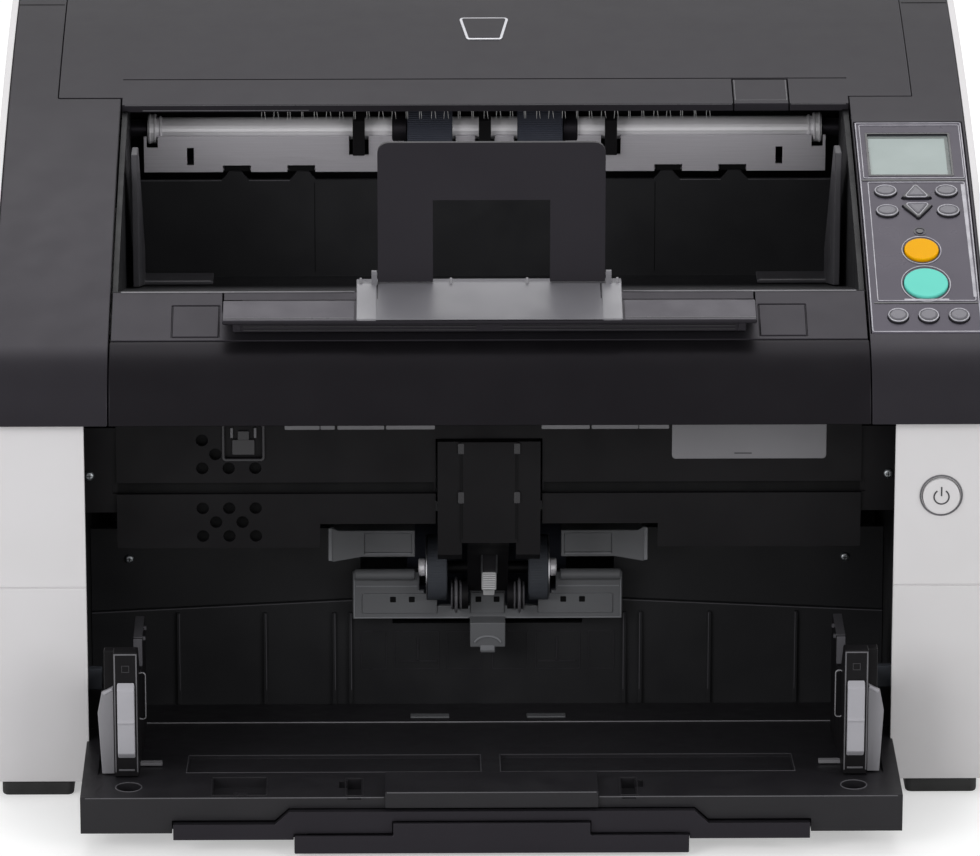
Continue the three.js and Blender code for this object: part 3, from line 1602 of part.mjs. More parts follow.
for (const [sideName, side] of sides) {
  const bore = pickShaftRadius + clearance;
  const roller = tyre(
    side,
    pickRollerInner,
    pickRollerOuter,
    pickRollerRadius,
    bore,
    pickRollerY,
    pickRollerHeight,
  );
  addPart(`pick_roller_${sideName}`, roller, rubberNavy);
}

// Guide wings with pocketed, tapered front lips, carried by a bar across the frames behind the pick arm
function pickGuide() {
  const bar = box(both(frameInner - clearance), [wingBarFront, wingBarRear], [wingBarBottom, wingTop]);
  const pieces = [bar];
  const cuts = [];
  const stepTop = wingTop - wingStepDrop;
  const stepBottom = wingLipBottom + wingTaper;
  for (const [, side] of sides) {
    const lip = [
      [wingInner, stepBottom],
      [wingStep, stepBottom],
      [wingOuter - wingTaper, wingLipBottom],
      [wingOuter, wingLipBottom + wingTaper / 2],
      [wingOuter, wingTop - wingTaper / 2],
      [wingOuter - wingTaper / 2, wingTop],
      [wingOuter - 2 * wingTaper, stepTop],
      [wingInner, stepTop],
    ];
    const outline = side > 0 ? lip : lip.map(([x, z]) => [-x, z]).reverse();
    pieces.push(prismAlongY(outline, [wingFront, wingFront + wingSheet]));
    const width = span(side, wingInner, wingOuter - wingTaper);
    pieces.push(box(width, [wingFront + wingSheet / 2, wingBarRear], [stepTop - wingSheet, stepTop]));
    cuts.push(box(
      span(side, wingInner + wingPocketMargin, wingStep - wingPocketMargin),
      [wingFront - overrun, wingFront + wingPocketDepth],
      [stepBottom + wingPocketMargin, stepTop - wingPocketMargin],
    ));
  }
  return cut(joined(pieces), cuts);
}

addPart('pick_guide', pickGuide(), guideGrey);

// Sheet guide: a notched plate with a nose, held off the bay's back wall by two bosses
function sheetGuide() {
  const y0 = sheetGuideFront;
  const y1 = sheetGuideFront + sheetGuideThickness;
  const pieces = [
    box(both(sheetGuideHalfWidth), [y0, y1], [sheetGuideBottom, sheetGuideTop]),
    box(
      both(sheetGuideNoseHalfWidth),
      [y0 - sheetGuideNoseDepth, y1],
      [sheetGuideNoseBottom, sheetGuideNoseTop],
    ),
    box(
      both(sheetGuideTipHalfWidth),
      [y0 - sheetGuideNoseDepth, y1],
      [sheetGuideTipBottom, sheetGuideNoseBottom + clearance],
    ),
  ];
  const through = [y0 - overrun, y1 + overrun];
  const cuts = [box(
    both(sheetGuideNotchHalfWidth),
    through,
    [sheetGuideNotchBottom, sheetGuideTop + overrun],
  )];
  for (const [, side] of sides) {
    const boss = span(side, sheetGuideBossInner, sheetGuideBossOuter);
    pieces.push(box(boss, [y1 - clearance, bayBackFront - clearance], [sheetGuideBottom, sheetGuideBossTop]));
    const slot = span(side, sheetGuideSlotInner, sheetGuideSlotOuter);
    cuts.push(box(slot, through, [sheetGuideBottom + sheetGuideSlotRise, sheetGuideTop + overrun]));
    for (const x of sheetGuideHoles) {
      const hole = span(side, x - sheetGuideHoleSize / 2, x + sheetGuideHoleSize / 2);
      cuts.push(box(
        hole,
        through,
        [sheetGuideHoleHeight - sheetGuideHoleSize / 2, sheetGuideHoleHeight + sheetGuideHoleSize / 2],
      ));
    }
  }
  return cut(joined(pieces), cuts);
}

addPart('sheet_guide', sheetGuide(), guideGrey);

// Back wall of the bay with its ribs and set-back upper plates, open at the middle where the sheets go in
function hopperBackWall() {
  const half = frameInner - clearance;
  const inner = sheetGuideHalfWidth;
  const outline = [
    [-half, bayBackBottom],
    [half, bayBackBottom],
    [half, bayBackOuterTop],
    [inner, bayBackInnerTop],
    [bayBackOpeningHalfWidth, bayBackInnerTop],
    [bayBackOpeningHalfWidth, bayBackOpeningTop],
    [-bayBackOpeningHalfWidth, bayBackOpeningTop],
    [-bayBackOpeningHalfWidth, bayBackInnerTop],
    [-inner, bayBackInnerTop],
    [-half, bayBackOuterTop],
  ];
  const pieces = [prismAlongY(outline, [bayBackFront, bayBackFront + bayBackThickness])];
  const upperDepth = [bayBackFront + bayBackThickness - clearance, bayBackFront + 2 * bayBackThickness];
  for (const [, side] of sides) {
    pieces.push(box(span(side, bayUpperInner, half), upperDepth, [bayBackOpeningTop, bayUpperTop]));
    for (const x of bayRibs) {
      const rib = span(side, x - bayRibWidth / 2, x + bayRibWidth / 2);
      pieces.push(box(
        rib,
        [bayBackFront - bayRibDepth, bayBackFront + overrun],
        [bayBackBottom, bayBackOuterTop],
      ));
    }
  }
  return joined(pieces);
}

addPart('hopper_back_wall', hopperBackWall(), deepBlack);

// Feed roller with its gear outside the right frame, and the brake roller under it
function wheel(radius, teeth, y, z) {
  const outline = shifted(toothedOutline(radius, gearToothDepth, teeth), [y, z]);
  return prismAlongX(outline, gearSpan);
}

const feedRoller = joined([
  rodAlongX(feedShaftRadius, [clearance - frameInner, gearInner + gearWidth / 2], feedY, feedHeight, 20),
  rodAlongX(feedRollerRadius, both(feedRollerHalfWidth), feedY, feedHeight, 32),
  wheel(gearRadius, gearTeeth, feedY, feedHeight),
]);
addPart('feed_roller', feedRoller, rubberNavy);

const brakeHeight = feedHeight - 2 * feedRollerRadius - feedNip;
const brakeRoller = joined([
  rodAlongX(feedShaftRadius, both(frameInner - clearance), feedY, brakeHeight, 20),
  rodAlongX(feedRollerRadius, both(brakeRollerHalfWidth), feedY, brakeHeight, 32),
]);
addPart('brake_roller', brakeRoller, rubberNavy);

// Drive motor inside the right frame, its pinion outside
function driveMotor() {
  const face = frameInner - clearance;
  const y = motorY;
  const bodySpan = [face - motorLength, face - motorBossHeight];
  const pinionCentre = [y, feedHeight];
  const outline = roundedRectangle(motorHalfSize, -motorHalfSize, motorHalfSize, motorBossHeight * 2, 2);
  const pinion = shifted(toothedOutline(pinionRadius, gearToothDepth, pinionTeeth), pinionCentre);
  return joined([
    prismAlongX(shifted(outline, pinionCentre), bodySpan),
    rodAlongX(motorBossRadius, [bodySpan[1] - clearance, face], y, feedHeight, 24),
    rodAlongX(motorShaftRadius, [face - clearance, gearInner + clearance], y, feedHeight, 16),
    prismAlongX(pinion, gearSpan),
  ]);
}

addPart('drive_motor', driveMotor(), motorBlack);

// Main board on posts outside the left frame
function mainBoard() {
  const frameOuter = frameInner + frameThickness;
  const x1 = -frameOuter - boardOffset;
  const x0 = x1 - boardThickness;
  const length = boardRear - boardFront;
  const height = boardTop - boardBottom;
  const pieces = [box([x0, x1], [boardFront, boardRear], [boardBottom, boardTop])];
  for (const y of [boardFront + boardPostInset, boardRear - boardPostInset]) {
    for (const z of [boardBottom + boardPostInset, boardTop - boardPostInset]) {
      pieces.push(rodAlongX(boardPostRadius, [x1 - clearance, -frameOuter - clearance], y, z, 12));
    }
  }
  for (const [alongShare, upShare, lengthShare, heightShare] of boardChips) {
    const y = boardFront + length * alongShare;
    const z = boardBottom + height * upShare;
    pieces.push(box(
      [x0 - boardChipHeight, x0 + clearance],
      [y, y + length * lengthShare],
      [z, z + height * heightShare],
    ));
  }
  return joined(pieces);
}

addPart('main_board', mainBoard(), boardGreen);

// Power supply on the base plate, with its inlet through the rear cover
function powerSupply() {
  const bottom = footHeight + basePlateThickness + clearance;
  const body = box([supplyLeft, supplyRight], [supplyFront, supplyRear], [bottom, bottom + supplyHeight]);
  const lid = box(
    [supplyLeft + supplyLidSteps, supplyRight - supplyLidSteps],
    [supplyFront + supplyLidSteps, supplyRear - supplyLidSteps],
    [bottom + supplyHeight - clearance, bottom + supplyHeight + supplyLidSteps],
  );
  const inletSpan = [inletX - inletHalfWidth, inletX + inletHalfWidth];
  const inlet = box(inletSpan, [supplyRear - overrun, bodyRear], [inletBottom, inletBottom + inletHeight]);
  const pocket = box(
    [inletSpan[0] + inletRim, inletSpan[1] - inletRim],
    [bodyRear - inletPocketDepth, bodyRear + overrun],
    [inletBottom + inletRim, inletBottom + inletHeight - inletRim],
  );
  return joined([body, lid, inlet]).subtract(pocket);
}

addPart('power_supply', powerSupply(), steel);

// Hopper table: front bar, inclined plate, rims, runners beside the frames and rails for the extensions
function hopperTable() {
  const drawerTop = midHeadTop + 2 * clearance;
  const plate = [
    [tableBreak - overrun, tableHeight],
    [tableBreak, tableHeight],
    [tableRear, tableTop(tableRear)],
    [tableRear, tableTop(tableRear) - tableThickness],
    [tableBreak - overrun, tableTop(tableBreak - overrun) - tableThickness],
  ];
  const rim = [
    [tableBreak, tableHeight],
    [tableRimRear, tableHeight],
    [tableRimRear, tableTop(tableRimRear) - tableThickness],
    [tableBreak, tableHeight - tableThickness],
  ];
  const runnerBottom = tableTop(tableRunnerFront) - tableThickness;
  const webBottom = tableFrontBottom;
  const webOuter = midHalfWidth + 2 * clearance + drawerWebThickness;
  const web = [
    [tableBreak - overrun, webBottom],
    [drawerRailRear, webBottom],
    [drawerRailRear, tableTop(drawerRailRear) - tableThickness / 2],
    [tableBreak - overrun, tableTop(tableBreak) - tableThickness / 2],
  ];
  const pieces = [
    box(both(tableFrontHalfWidth), [tableFront, tableBreak], [tableFrontBottom, tableHeight]),
    prismAlongX(plate, both(tableHalfWidth)),
    box(both(tableBlockHalfWidth), [tableBlockFront, tableBlockRear], [tableBlockBottom, tableBlockTop]),
  ];
  const mouth = [
    [-midStepOuter - clearance, 0],
    [midStepOuter + clearance, 0],
    [midStepOuter + clearance, midHeadTop + clearance],
    [midStepInner + clearance, midStepTop + clearance],
    [-midStepInner - clearance, midStepTop + clearance],
    [-midStepOuter - clearance, midHeadTop + clearance],
  ];
  const cuts = [
    box(both(midHalfWidth + 2 * clearance), [tableFront - overrun, tableBreak + overrun], [0, drawerTop]),
    prismAlongY(mouth, [tableFront - overrun, tableFront + drawerMouthDepth]),
  ];
  const channel = [
    [tableChannelFront, tableTop(tableChannelFront) - tableChannelDepth],
    [tableChannelRear, tableTop(tableChannelRear) - tableChannelDepth],
    [tableChannelRear, tableTop(tableChannelRear) + overrun],
    [tableChannelFront, tableTop(tableChannelFront) + overrun],
  ];
  for (const [, side] of sides) {
    pieces.push(prismAlongX(rim, span(side, tableRimInner, tableHalfWidth)));
    pieces.push(box(
      span(side, tableRimInner, tableFrontHalfWidth),
      [tableFront, bodyFront - 2 * clearance],
      [tableHeight - tableThickness, tableHeight],
    ));
    const runner = span(side, tableHalfWidth - tableThickness, frameInner - clearance);
    pieces.push(box(
      runner,
      [tableRunnerFront, tableRunnerRear],
      [runnerBottom, runnerBottom + tableRunnerHeight],
    ));
    pieces.push(prismAlongX(web, span(side, midHalfWidth + 2 * clearance, webOuter)));
    const lipHeights = [webBottom, webBottom + drawerRailThickness];
    pieces.push(box(
      span(side, midHalfWidth - drawerRailWidth, webOuter),
      [tableFront + drawerRailWidth, drawerRailRear],
      lipHeights,
    ));
    cuts.push(prismAlongX(channel, span(side, tableChannelInner, tableChannelOuter)));
    cuts.push(rodAlongZ(
      tableHoleRadius,
      [tableHeight - tableHoleDepth, tableHeight + overrun],
      side * tableHoleX,
      tableHoleY,
      24,
    ));
    const notchHeights = [tableHeight - tableNotchDepth, tableHeight + overrun];
    const notch = span(side, tableNotchInner, tableNotchOuter);
    cuts.push(box(notch, [tableNotchFront, tableNotchRear], notchHeights));
    const notchSide = span(side, tableNotchOuter - clearance, tableNotchSide);
    cuts.push(box(notchSide, [tableNotchSideFront, tableNotchSideRear], notchHeights));
    const lipHeightsCut = [tableHeight - tableNotchLipDepth, tableHeight + overrun];
    cuts.push(box(notch, [tableFront - overrun, tableNotchFront + clearance], lipHeightsCut));
  }
  const [recessLeft, recessRight, recessFront, recessRear] = tableRecess;
  cuts.push(box(
    [recessLeft, recessRight],
    [recessFront, recessRear],
    [tableHeight - tableRecessDepth, tableHeight + overrun],
  ));
  const body = cut(joined(pieces.slice(0, 3)), cuts);
  return joined([body, ...pieces.slice(3).map((piece) => cut(piece, cuts.slice(2)))]);
}

addPart('hopper_table', hopperTable(), coverBlack);

// First hopper extension: plate between the table's rails, stepped head, rails for the second one
function hopperExtension() {
  const headRear = tableFront - clearance;
  const plateTop = midPlateBottom + midPlateThickness;
  const head = [
    [-midHalfWidth, midHeadBottom],
    [midHalfWidth, midHeadBottom],
    [midHalfWidth, midHeadTop],
    [midStepOuter, midHeadTop],
    [midStepInner, midStepTop],
    [-midStepInner, midStepTop],
    [-midStepOuter, midHeadTop],
    [-midHalfWidth, midHeadTop],
  ];
  const pieces = [
    prismAlongY(head, [midFront, headRear]),
    box(both(midHalfWidth), [headRear - clearance, midRear], [midPlateBottom, plateTop]),
  ];
  const railTop = endPlateBottom + endPlateThickness + clearance;
  const railBottom = endPlateBottom - clearance - endRailThickness;
  for (const [, side] of sides) {
    const railInner = endHalfWidth + clearance;
    const rail = span(side, railInner, railInner + midRailWidth);
    pieces.push(box(rail, [midFront + midRailWidth, midRear], [railBottom, midPlateBottom + clearance]));
    const lip = span(side, railInner - midRailWidth, railInner + midRailWidth);
    pieces.push(box(lip, [midFront + midRailWidth, midRear], [railBottom, railBottom + endRailThickness]));
  }
  const headCut = box(
    both(endHeadHalfWidth + clearance),
    [midFront - overrun, headRear - clearance],
    [midHeadBottom - overrun, endHeadTop + clearance],
  );
  const mouth = box(
    both(endHalfWidth + clearance),
    [midFront - overrun, headRear + midRailWidth],
    [railBottom + endRailThickness, railTop],
  );
  const centreCut = box(
    both(endCentreHalfWidth + clearance),
    [midFront - overrun, headRear - 2 * clearance],
    [midHeadBottom - overrun, endCentreTop + clearance],
  );
  return cut(joined(pieces.slice(0, 2)), [headCut, mouth, centreCut]).add(joined(pieces.slice(2)));
}

addPart('hopper_extension', hopperExtension(), coverBlack);

// Second hopper extension: the lowest plate with its own stepped head
function hopperExtensionEnd() {
  const headRear = midFront - clearance;
  const head = [
    [-endHeadHalfWidth, endHeadBottom],
    [endHeadHalfWidth, endHeadBottom],
    [endHeadHalfWidth, endHeadTop],
    [endCentreHalfWidth, endHeadTop],
    [endCentreHalfWidth, endCentreTop],
    [-endCentreHalfWidth, endCentreTop],
    [-endCentreHalfWidth, endHeadTop],
    [-endHeadHalfWidth, endHeadTop],
  ];
  return joined([
    prismAlongY(head, [endFront, headRear]),
    box(
      both(endHalfWidth),
      [headRear - clearance, endRear],
      [endPlateBottom, endPlateBottom + endPlateThickness],
    ),
  ]);
}

addPart('hopper_extension_end', hopperExtensionEnd(), coverBlack);

// Hopper side guides on the inclined table, with light grips on their front columns
function hopperGuide(side) {
  const seat = (y) => tableTop(y) + clearance;
  const column = [
    [guideFront, seat(guideFront)],
    [guideFront, guideTop],
    [guideColumnRear, guideTop],
    [guideColumnRear, seat(guideColumnRear)],
  ];
  const bodyOutline = [
    [guideColumnRear - overrun, seat(guideColumnRear - overrun)],
    [guideColumnRear - overrun, guideCrestTop],
    [guideCrestRear, guideCrestTop],
    [guideShoulderY, guideShoulderTop],
    [guideBodyRear - guideBodyChamfer, guideBodyTop],
    [guideBodyRear, guideBodyTop - guideBodyChamfer],
    [guideBodyRear, seat(guideBodyRear)],
  ];
  const fin = [
    [guideBodyRear - overrun, seat(guideBodyRear - overrun)],
    [guideBodyRear - overrun, guideFinTop],
    [guideFinRear - guideBodyChamfer, guideFinTop],
    [guideFinRear, guideFinTop - 2 * guideBodyChamfer],
    [guideFinRear, seat(guideFinRear)],
  ];
  return joined([
    prismAlongX(column, span(side, guideInner, guideColumnOuter)),
    prismAlongX(bodyOutline, span(side, guideInner, guideBodyOuter)),
    prismAlongX(fin, span(side, guideInner, guideInner + guideFinThickness)),
  ]);
}

function guideGrip(side) {
  const outline = [
    [guideFront - clearance, gripBottom],
    [guideFront - gripDepth, gripBottom + gripDepth],
    [guideFront - gripDepth, gripRidge - gripRidgeHeight / 2],
    [guideFront - gripDepth - gripRidgeRise, gripRidge],
    [guideFront - gripDepth, gripRidge + gripRidgeHeight / 2],
    [guideFront - gripDepth, gripTop - gripDepth],
    [guideFront - clearance, gripTop],
  ];
  return prismAlongX(outline, span(side, gripInner, gripOuter));
}

for (const [sideName, side] of sides) {
  addPart(`${sideName}_hopper_guide`, hopperGuide(side), deepBlack);
  addPart(`${sideName}_guide_grip`, guideGrip(side), gripGrey);
}

// Operator panel: each button is an outline in its own plane, set square to the curved top
function ellipse(width, length, steps = 16) {
  const points = [];
  for (let i = 0; i < steps; i += 1) {
    const angle = 2 * Math.PI * i / steps;
    points.push([width / 2 * Math.cos(angle), length / 2 * Math.sin(angle)]);
  }
  return points;
}

function triangle(width, length, direction, rounding) {
  const corners = [[-width / 2, -length / 2], [width / 2, -length / 2], [0, length / 2]];
  const points = corners.flatMap(([x, y], index) => {
    const start = [210, 300, 30][index];
    return [0, 40, 80, 120].map((turn) => {
      const angle = (start + turn - 30) * degree;
      return [
        x * (1 - rounding / width) + rounding * Math.cos(angle),
        y * (1 - rounding / width) + rounding * Math.sin(angle),
      ];
    });
  });
  return points.map(([x, y]) => [x * direction, y * direction]);
}

const oval = (margin) => ellipse(ovalWidth + margin, ovalLength + margin);
const arrow = (direction) => (margin) => triangle(
  triangleWidth + 2 * margin,
  triangleLength + 2 * margin,
  direction,
  triangleRounding,
);
const counter = (margin) => ellipse(counterWidth + margin, counterLength + margin);
const disc = (radius, steps) => (margin) => ellipse(2 * radius + margin, 2 * radius + margin, steps);

const buttons = [
  ['menu_button', keyLeftX, upperKeyY, oval, buttonGrey],
  ['function_button', keyRightX, upperKeyY, oval, buttonGrey],
  ['send_button', keyLeftX, lowerKeyY, oval, buttonGrey],
  ['clear_button', keyRightX, lowerKeyY, oval, buttonGrey],
  ['up_button', keyMiddleX, upperKeyY, arrow(1), buttonGrey],
  ['down_button', keyMiddleX, lowerKeyY, arrow(-1), buttonGrey],
  ['stop_button', keyMiddleX, stopY, disc(stopRadius, 24), stopOrange],
  ['scan_button', scanX, scanY, disc(scanRadius, 28), scanGreen],
  ['counter_button_left', counterLeftX, counterY, counter, buttonGrey],
  ['counter_button_centre', counterMiddleX, counterY, counter, buttonGrey],
  ['counter_button_right', counterRightX, counterY, counter, buttonGrey],
];

function panelBody() {
  const outline = panelOutline(0, panelSetback, panelSetback + panelThickness);
  const body = prismAlongX(outline, [panelLeft, panelRight]);
  const cuts = buttons.map(([, x, y, shapeOf]) => {
    const hole = prismGeometry(shapeOf(2 * buttonGap), -panelThickness * overrun, overrun);
    return solidOf(hole.applyMatrix4(onSlope(x, y)));
  });
  const displayCut = [
    ...slopeLine(displayRear + clearance, displayFront - clearance, -overrun, 2),
    ...slopeLine(
      displayFront - clearance,
      displayRear + clearance,
      panelSetback + displaySink + displayThickness + clearance,
      2,
    ),
  ];
  cuts.push(prismAlongX(displayCut, [displayLeft - clearance, displayRight + clearance]));
  return cut(body, cuts);
}

addPart('panel_body', panelBody(), panelGrey);

const displayOutline = [
  ...slopeLine(displayRear, displayFront, panelSetback + displaySink, 2),
  ...slopeLine(displayFront, displayRear, panelSetback + displaySink + displayThickness, 2),
];
addPart('lcd_display', prismAlongX(displayOutline, [displayLeft, displayRight]), displayGreen);

for (const [name, x, y, shapeOf, look] of buttons) {
  const solid = solidOf(prismGeometry(shapeOf(0), -buttonDepth, buttonRise));
  const mesh = addPart(name, solid, look);
  mesh.position.set(x, y, slopeHeight(y));
  mesh.rotation.x = slopeTilt(y);
}

// Power button in the right shell's front panel, with a flange behind the panel
const powerButton = rodAlongY(
  powerRadius,
  [bodyFront - powerRise, bodyFront - powerRise + powerLength],
  powerX,
  powerHeight,
  32,
)
  .add(rodAlongY(
    powerFlangeRadius,
    [
      bodyFront + shellPanel + powerRise + 2 * clearance,
      bodyFront + shellPanel + powerRise + 2 * clearance + powerFlangeThickness,
    ],
    powerX,
    powerHeight,
    32,
  ));
addPart('power_button', powerButton, shellWhite);

export default scanner;
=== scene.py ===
"""Looks for a desktop document scanner with a hinged feeder cover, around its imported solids.

X runs to the right, Y to the back and Z up. Shapes are worked out in millimetres and stored in metres."""
import json
import math

import bmesh
import bpy
import numpy as np
from mathutils import Matrix, Vector


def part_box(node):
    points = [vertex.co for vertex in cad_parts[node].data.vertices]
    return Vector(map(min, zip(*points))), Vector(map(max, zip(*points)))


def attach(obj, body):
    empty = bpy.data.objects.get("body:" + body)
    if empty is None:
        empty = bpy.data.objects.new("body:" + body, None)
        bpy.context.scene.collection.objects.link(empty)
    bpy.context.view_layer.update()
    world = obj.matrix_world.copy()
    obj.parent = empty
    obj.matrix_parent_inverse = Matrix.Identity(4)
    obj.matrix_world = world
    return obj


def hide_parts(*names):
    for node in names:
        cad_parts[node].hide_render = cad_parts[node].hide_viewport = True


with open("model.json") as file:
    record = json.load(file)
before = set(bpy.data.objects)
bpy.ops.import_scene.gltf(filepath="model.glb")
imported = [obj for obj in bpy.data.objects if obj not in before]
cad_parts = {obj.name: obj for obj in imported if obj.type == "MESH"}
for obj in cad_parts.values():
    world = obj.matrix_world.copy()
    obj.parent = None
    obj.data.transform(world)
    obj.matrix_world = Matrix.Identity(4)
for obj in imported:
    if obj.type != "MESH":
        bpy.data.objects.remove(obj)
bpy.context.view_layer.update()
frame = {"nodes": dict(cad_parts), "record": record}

MM = 0.001
BODY_OF = {node: body for body, nodes in frame["record"]["behaviour"]["bodies"].items() for node in nodes}

# Camera
picture_width = 980
camera_place = (-0.034394, -3.091475, 1.148881)
camera_yaw = math.radians(-0.6665)
camera_pitch = math.radians(18.185)
camera_roll = math.radians(0.0266)
focal_pixels = 6855.316
sensor_width = 36

# Curved top of the machine
slope_start = -118
slope_start_height = 212.3
slope_start_angle = math.radians(26.08)
slope_radius = 1021
slope_centre_y = slope_start + slope_radius * math.sin(slope_start_angle)
slope_centre_height = slope_start_height - slope_radius * math.cos(slope_start_angle)

# Top of the hopper table
table_top = 27.0
table_break = -181.0
table_angle = math.radians(8.2)

# Sloping web of the pick arm: two heights and the place of its front at each
web_heights = (57.5, 110)
web_fronts = (-34.5, -74.9)


# Colours and materials

# How much the fine grain of plastic and the fine lines of metal tilt the light
grain_strength = 0.6
line_strength = 0.5


def linear(code):
    """The linear value of an sRGB hex colour."""
    value = np.array([int(code[i:i + 2], 16) for i in (1, 3, 5)]) / 255
    curve = np.where(value <= 0.04045, value / 12.92, ((value + 0.055) / 1.055) ** 2.4)
    return (*curve, 1.0)


def add_node(tree, kind, inputs=None, **settings):
    """Adds one node, sets its properties, and sets or links its sockets."""
    node = tree.nodes.new(kind)
    for key, value in settings.items():
        setattr(node, key, value)
    for key, value in (inputs or {}).items():
        if isinstance(value, bpy.types.NodeSocket):
            tree.links.new(value, node.inputs[key])
        else:
            node.inputs[key].default_value = value
    return node


def empty_material(name):
    """A new material with no nodes, and its node tree."""
    material = bpy.data.materials.new(name)
    material.use_nodes = True
    material.node_tree.nodes.clear()
    return material, material.node_tree


def finish_material(tree, shader):
    """Joins the shader to the material's output."""
    add_node(tree, "ShaderNodeOutputMaterial", {"Surface": shader.outputs["BSDF"]})


def colour_mix(tree, share, first, second):
    """A colour between two hex colours, by a share from 0 to 1."""
    inputs = {0: share, 6: linear(first), 7: linear(second)}
    return add_node(tree, "ShaderNodeMix", inputs, data_type="RGBA").outputs[2]


def ranged(tree, value, low, high, start=0.35, end=0.65):
    """A value spread from start..end to low..high."""
    inputs = {"Value": value, "From Min": start, "From Max": end, "To Min": low, "To Max": high}
    return add_node(tree, "ShaderNodeMapRange", inputs).outputs["Result"]


def noise(tree, place, size, detail=2, stretch=(1, 1, 1)):
    """Noise whose lumps are about size millimetres across, drawn out by stretch."""
    scale = tuple(1 / s for s in stretch)
    mapped = add_node(tree, "ShaderNodeMapping", {"Vector": place, "Scale": scale}).outputs["Vector"]
    inputs = {"Vector": mapped, "Scale": 1 / (size * MM), "Detail": detail}
    return add_node(tree, "ShaderNodeTexNoise", inputs).outputs["Fac"]


def moulded(name, colour, second, roughness, grain=0.9, depth=0.02, cloud=45, spread=0.06, ior=1.5,
            **sockets):
    """Moulded plastic or rubber: two near colours in soft clouds, a pitted grain and an uneven gloss.

    The clouds, the grain and the grain's depth are in millimetres."""
    material, tree = empty_material(name)
    place = add_node(tree, "ShaderNodeTexCoord").outputs["Object"]
    clouds = noise(tree, place, cloud, 3)
    pits = noise(tree, place, grain, 3)
    relief = {"Height": pits, "Strength": grain_strength, "Distance": depth * MM}
    bump = add_node(tree, "ShaderNodeBump", relief)
    inputs = {
        "Base Color": colour_mix(tree, ranged(tree, clouds, 0, 1), colour, second),
        "Roughness": ranged(tree, noise(tree, place, cloud / 3, 4), roughness - spread, roughness + spread),
        "Normal": bump.outputs["Normal"],
        "IOR": ior,
        **sockets,
    }
    finish_material(tree, add_node(tree, "ShaderNodeBsdfPrincipled", inputs))
    return material


def metal(name, colour, second, roughness, size, stretch, depth=0.004, spread=0.05, metallic=1.0):
    """Metal with fine lines along one way, as from brushing, drawing or grinding."""
    material, tree = empty_material(name)
    place = add_node(tree, "ShaderNodeTexCoord").outputs["Object"]
    lines = noise(tree, place, size, 3, stretch)
    relief = {"Height": lines, "Strength": line_strength, "Distance": depth * MM}
    bump = add_node(tree, "ShaderNodeBump", relief)
    inputs = {
        "Base Color": colour_mix(tree, ranged(tree, lines, 0, 1), colour, second),
        "Roughness": ranged(tree, lines, roughness - spread, roughness + spread),
        "Normal": bump.outputs["Normal"],
        "Metallic": metallic,
    }
    finish_material(tree, add_node(tree, "ShaderNodeBsdfPrincipled", inputs))
    return material


# The black plastic reflects a little more violet than green
violet_sheen = {"Specular Tint": (0.93, 0.86, 1.0, 1.0)}

# ABS moulded in a spark-eroded tool: nearly black, with a broad soft sheen where it faces the light
satin_black = moulded("satin_black_abs", "#171619", "#1a191c", 0.38, grain=1.1, depth=0.010, spread=0.03,
                      ior=1.31, **violet_sheen)
# The same plastic on the rounded front beam: a little smoother, less reflecting, darker as painted shade
beam_shaded_black = moulded("beam_shaded_black_abs", "#0e0d0f", "#111012", 0.34, grain=1.1, depth=0.008, spread=0.03,
                     ior=1.21, **violet_sheen)
# The same plastic left matt inside: darker as painted shade, and paler on tray and table as painted light
matt_shaded_black = moulded("matt_shaded_black_abs", "#0e0d0f", "#121113", 0.5, grain=1.0, depth=0.012, ior=1.2)
tray_lit_black = moulded("tray_lit_black_abs", "#1c1c1e", "#202022", 0.5, grain=1.0, depth=0.015, ior=1.3)
table_lit_black = moulded("table_lit_black_abs", "#1c1b1e", "#201f22", 0.42, grain=1.0, depth=0.012, ior=1.31)
# Warm white ABS with a fine even grain
shell_white = moulded("shell_white_abs", "#d3d1d3", "#cecccd", 0.55, grain=0.8, depth=0.015, cloud=80)
# Acetal guides: mid grey and faintly waxy; the paler copy is a painted highlight on their edges
guide_grey = moulded("guide_grey_acetal", "#5f6063", "#595a5d", 0.5, ior=1.4)
guide_highlight = moulded("guide_highlight_acetal", "#7c7d81", "#737478", 0.45, ior=1.4)
# ABS dyed in several greys, from the pale grips to the fins: even, with a soft gloss
# The lip's grey is painted light, and the grip and fin greys also paint highlights on darker parts
grip_and_highlight_grey = moulded("grip_and_highlight_grey_abs", "#a3a2a8", "#9b9aa0", 0.45)
fin_and_highlight_grey = moulded("fin_and_highlight_grey_abs", "#4a494d", "#454448", 0.4, ior=1.4)
lip_painted_light = moulded("lip_painted_light_abs", "#353438", "#313034", 0.38, ior=1.4, **violet_sheen)
wing_grey = moulded("wing_grey_abs", "#858489", "#7d7c81", 0.45)
slide_grey = moulded("slide_grey_abs", "#6f6e73", "#69686d", 0.34, depth=0.008, ior=1.4)
cap_grey = moulded("cap_grey_abs", "#828186", "#7a797e", 0.36, depth=0.006)
# Moulded rubber of the feet: black, dead matt and slightly rough
foot_rubber = moulded("foot_rubber", "#1a1a1a", "#222222", 0.85, grain=0.6, depth=0.04)
# Polyester film over the panel: smooth, with its clear edges painted pale as a highlight
panel_grey = moulded("panel_grey_film", "#3f3c45", "#3c3942", 0.3, depth=0.003, spread=0.03, ior=1.33,
                     **violet_sheen)
film_highlight = moulded("clear_film_edge_highlight", "#a6a4ad", "#8a8891", 0.2, grain=2.5, depth=0.02, cloud=9)
film_dark = moulded("dark_film_edge", "#232226", "#2a292d", 0.25, depth=0.003)
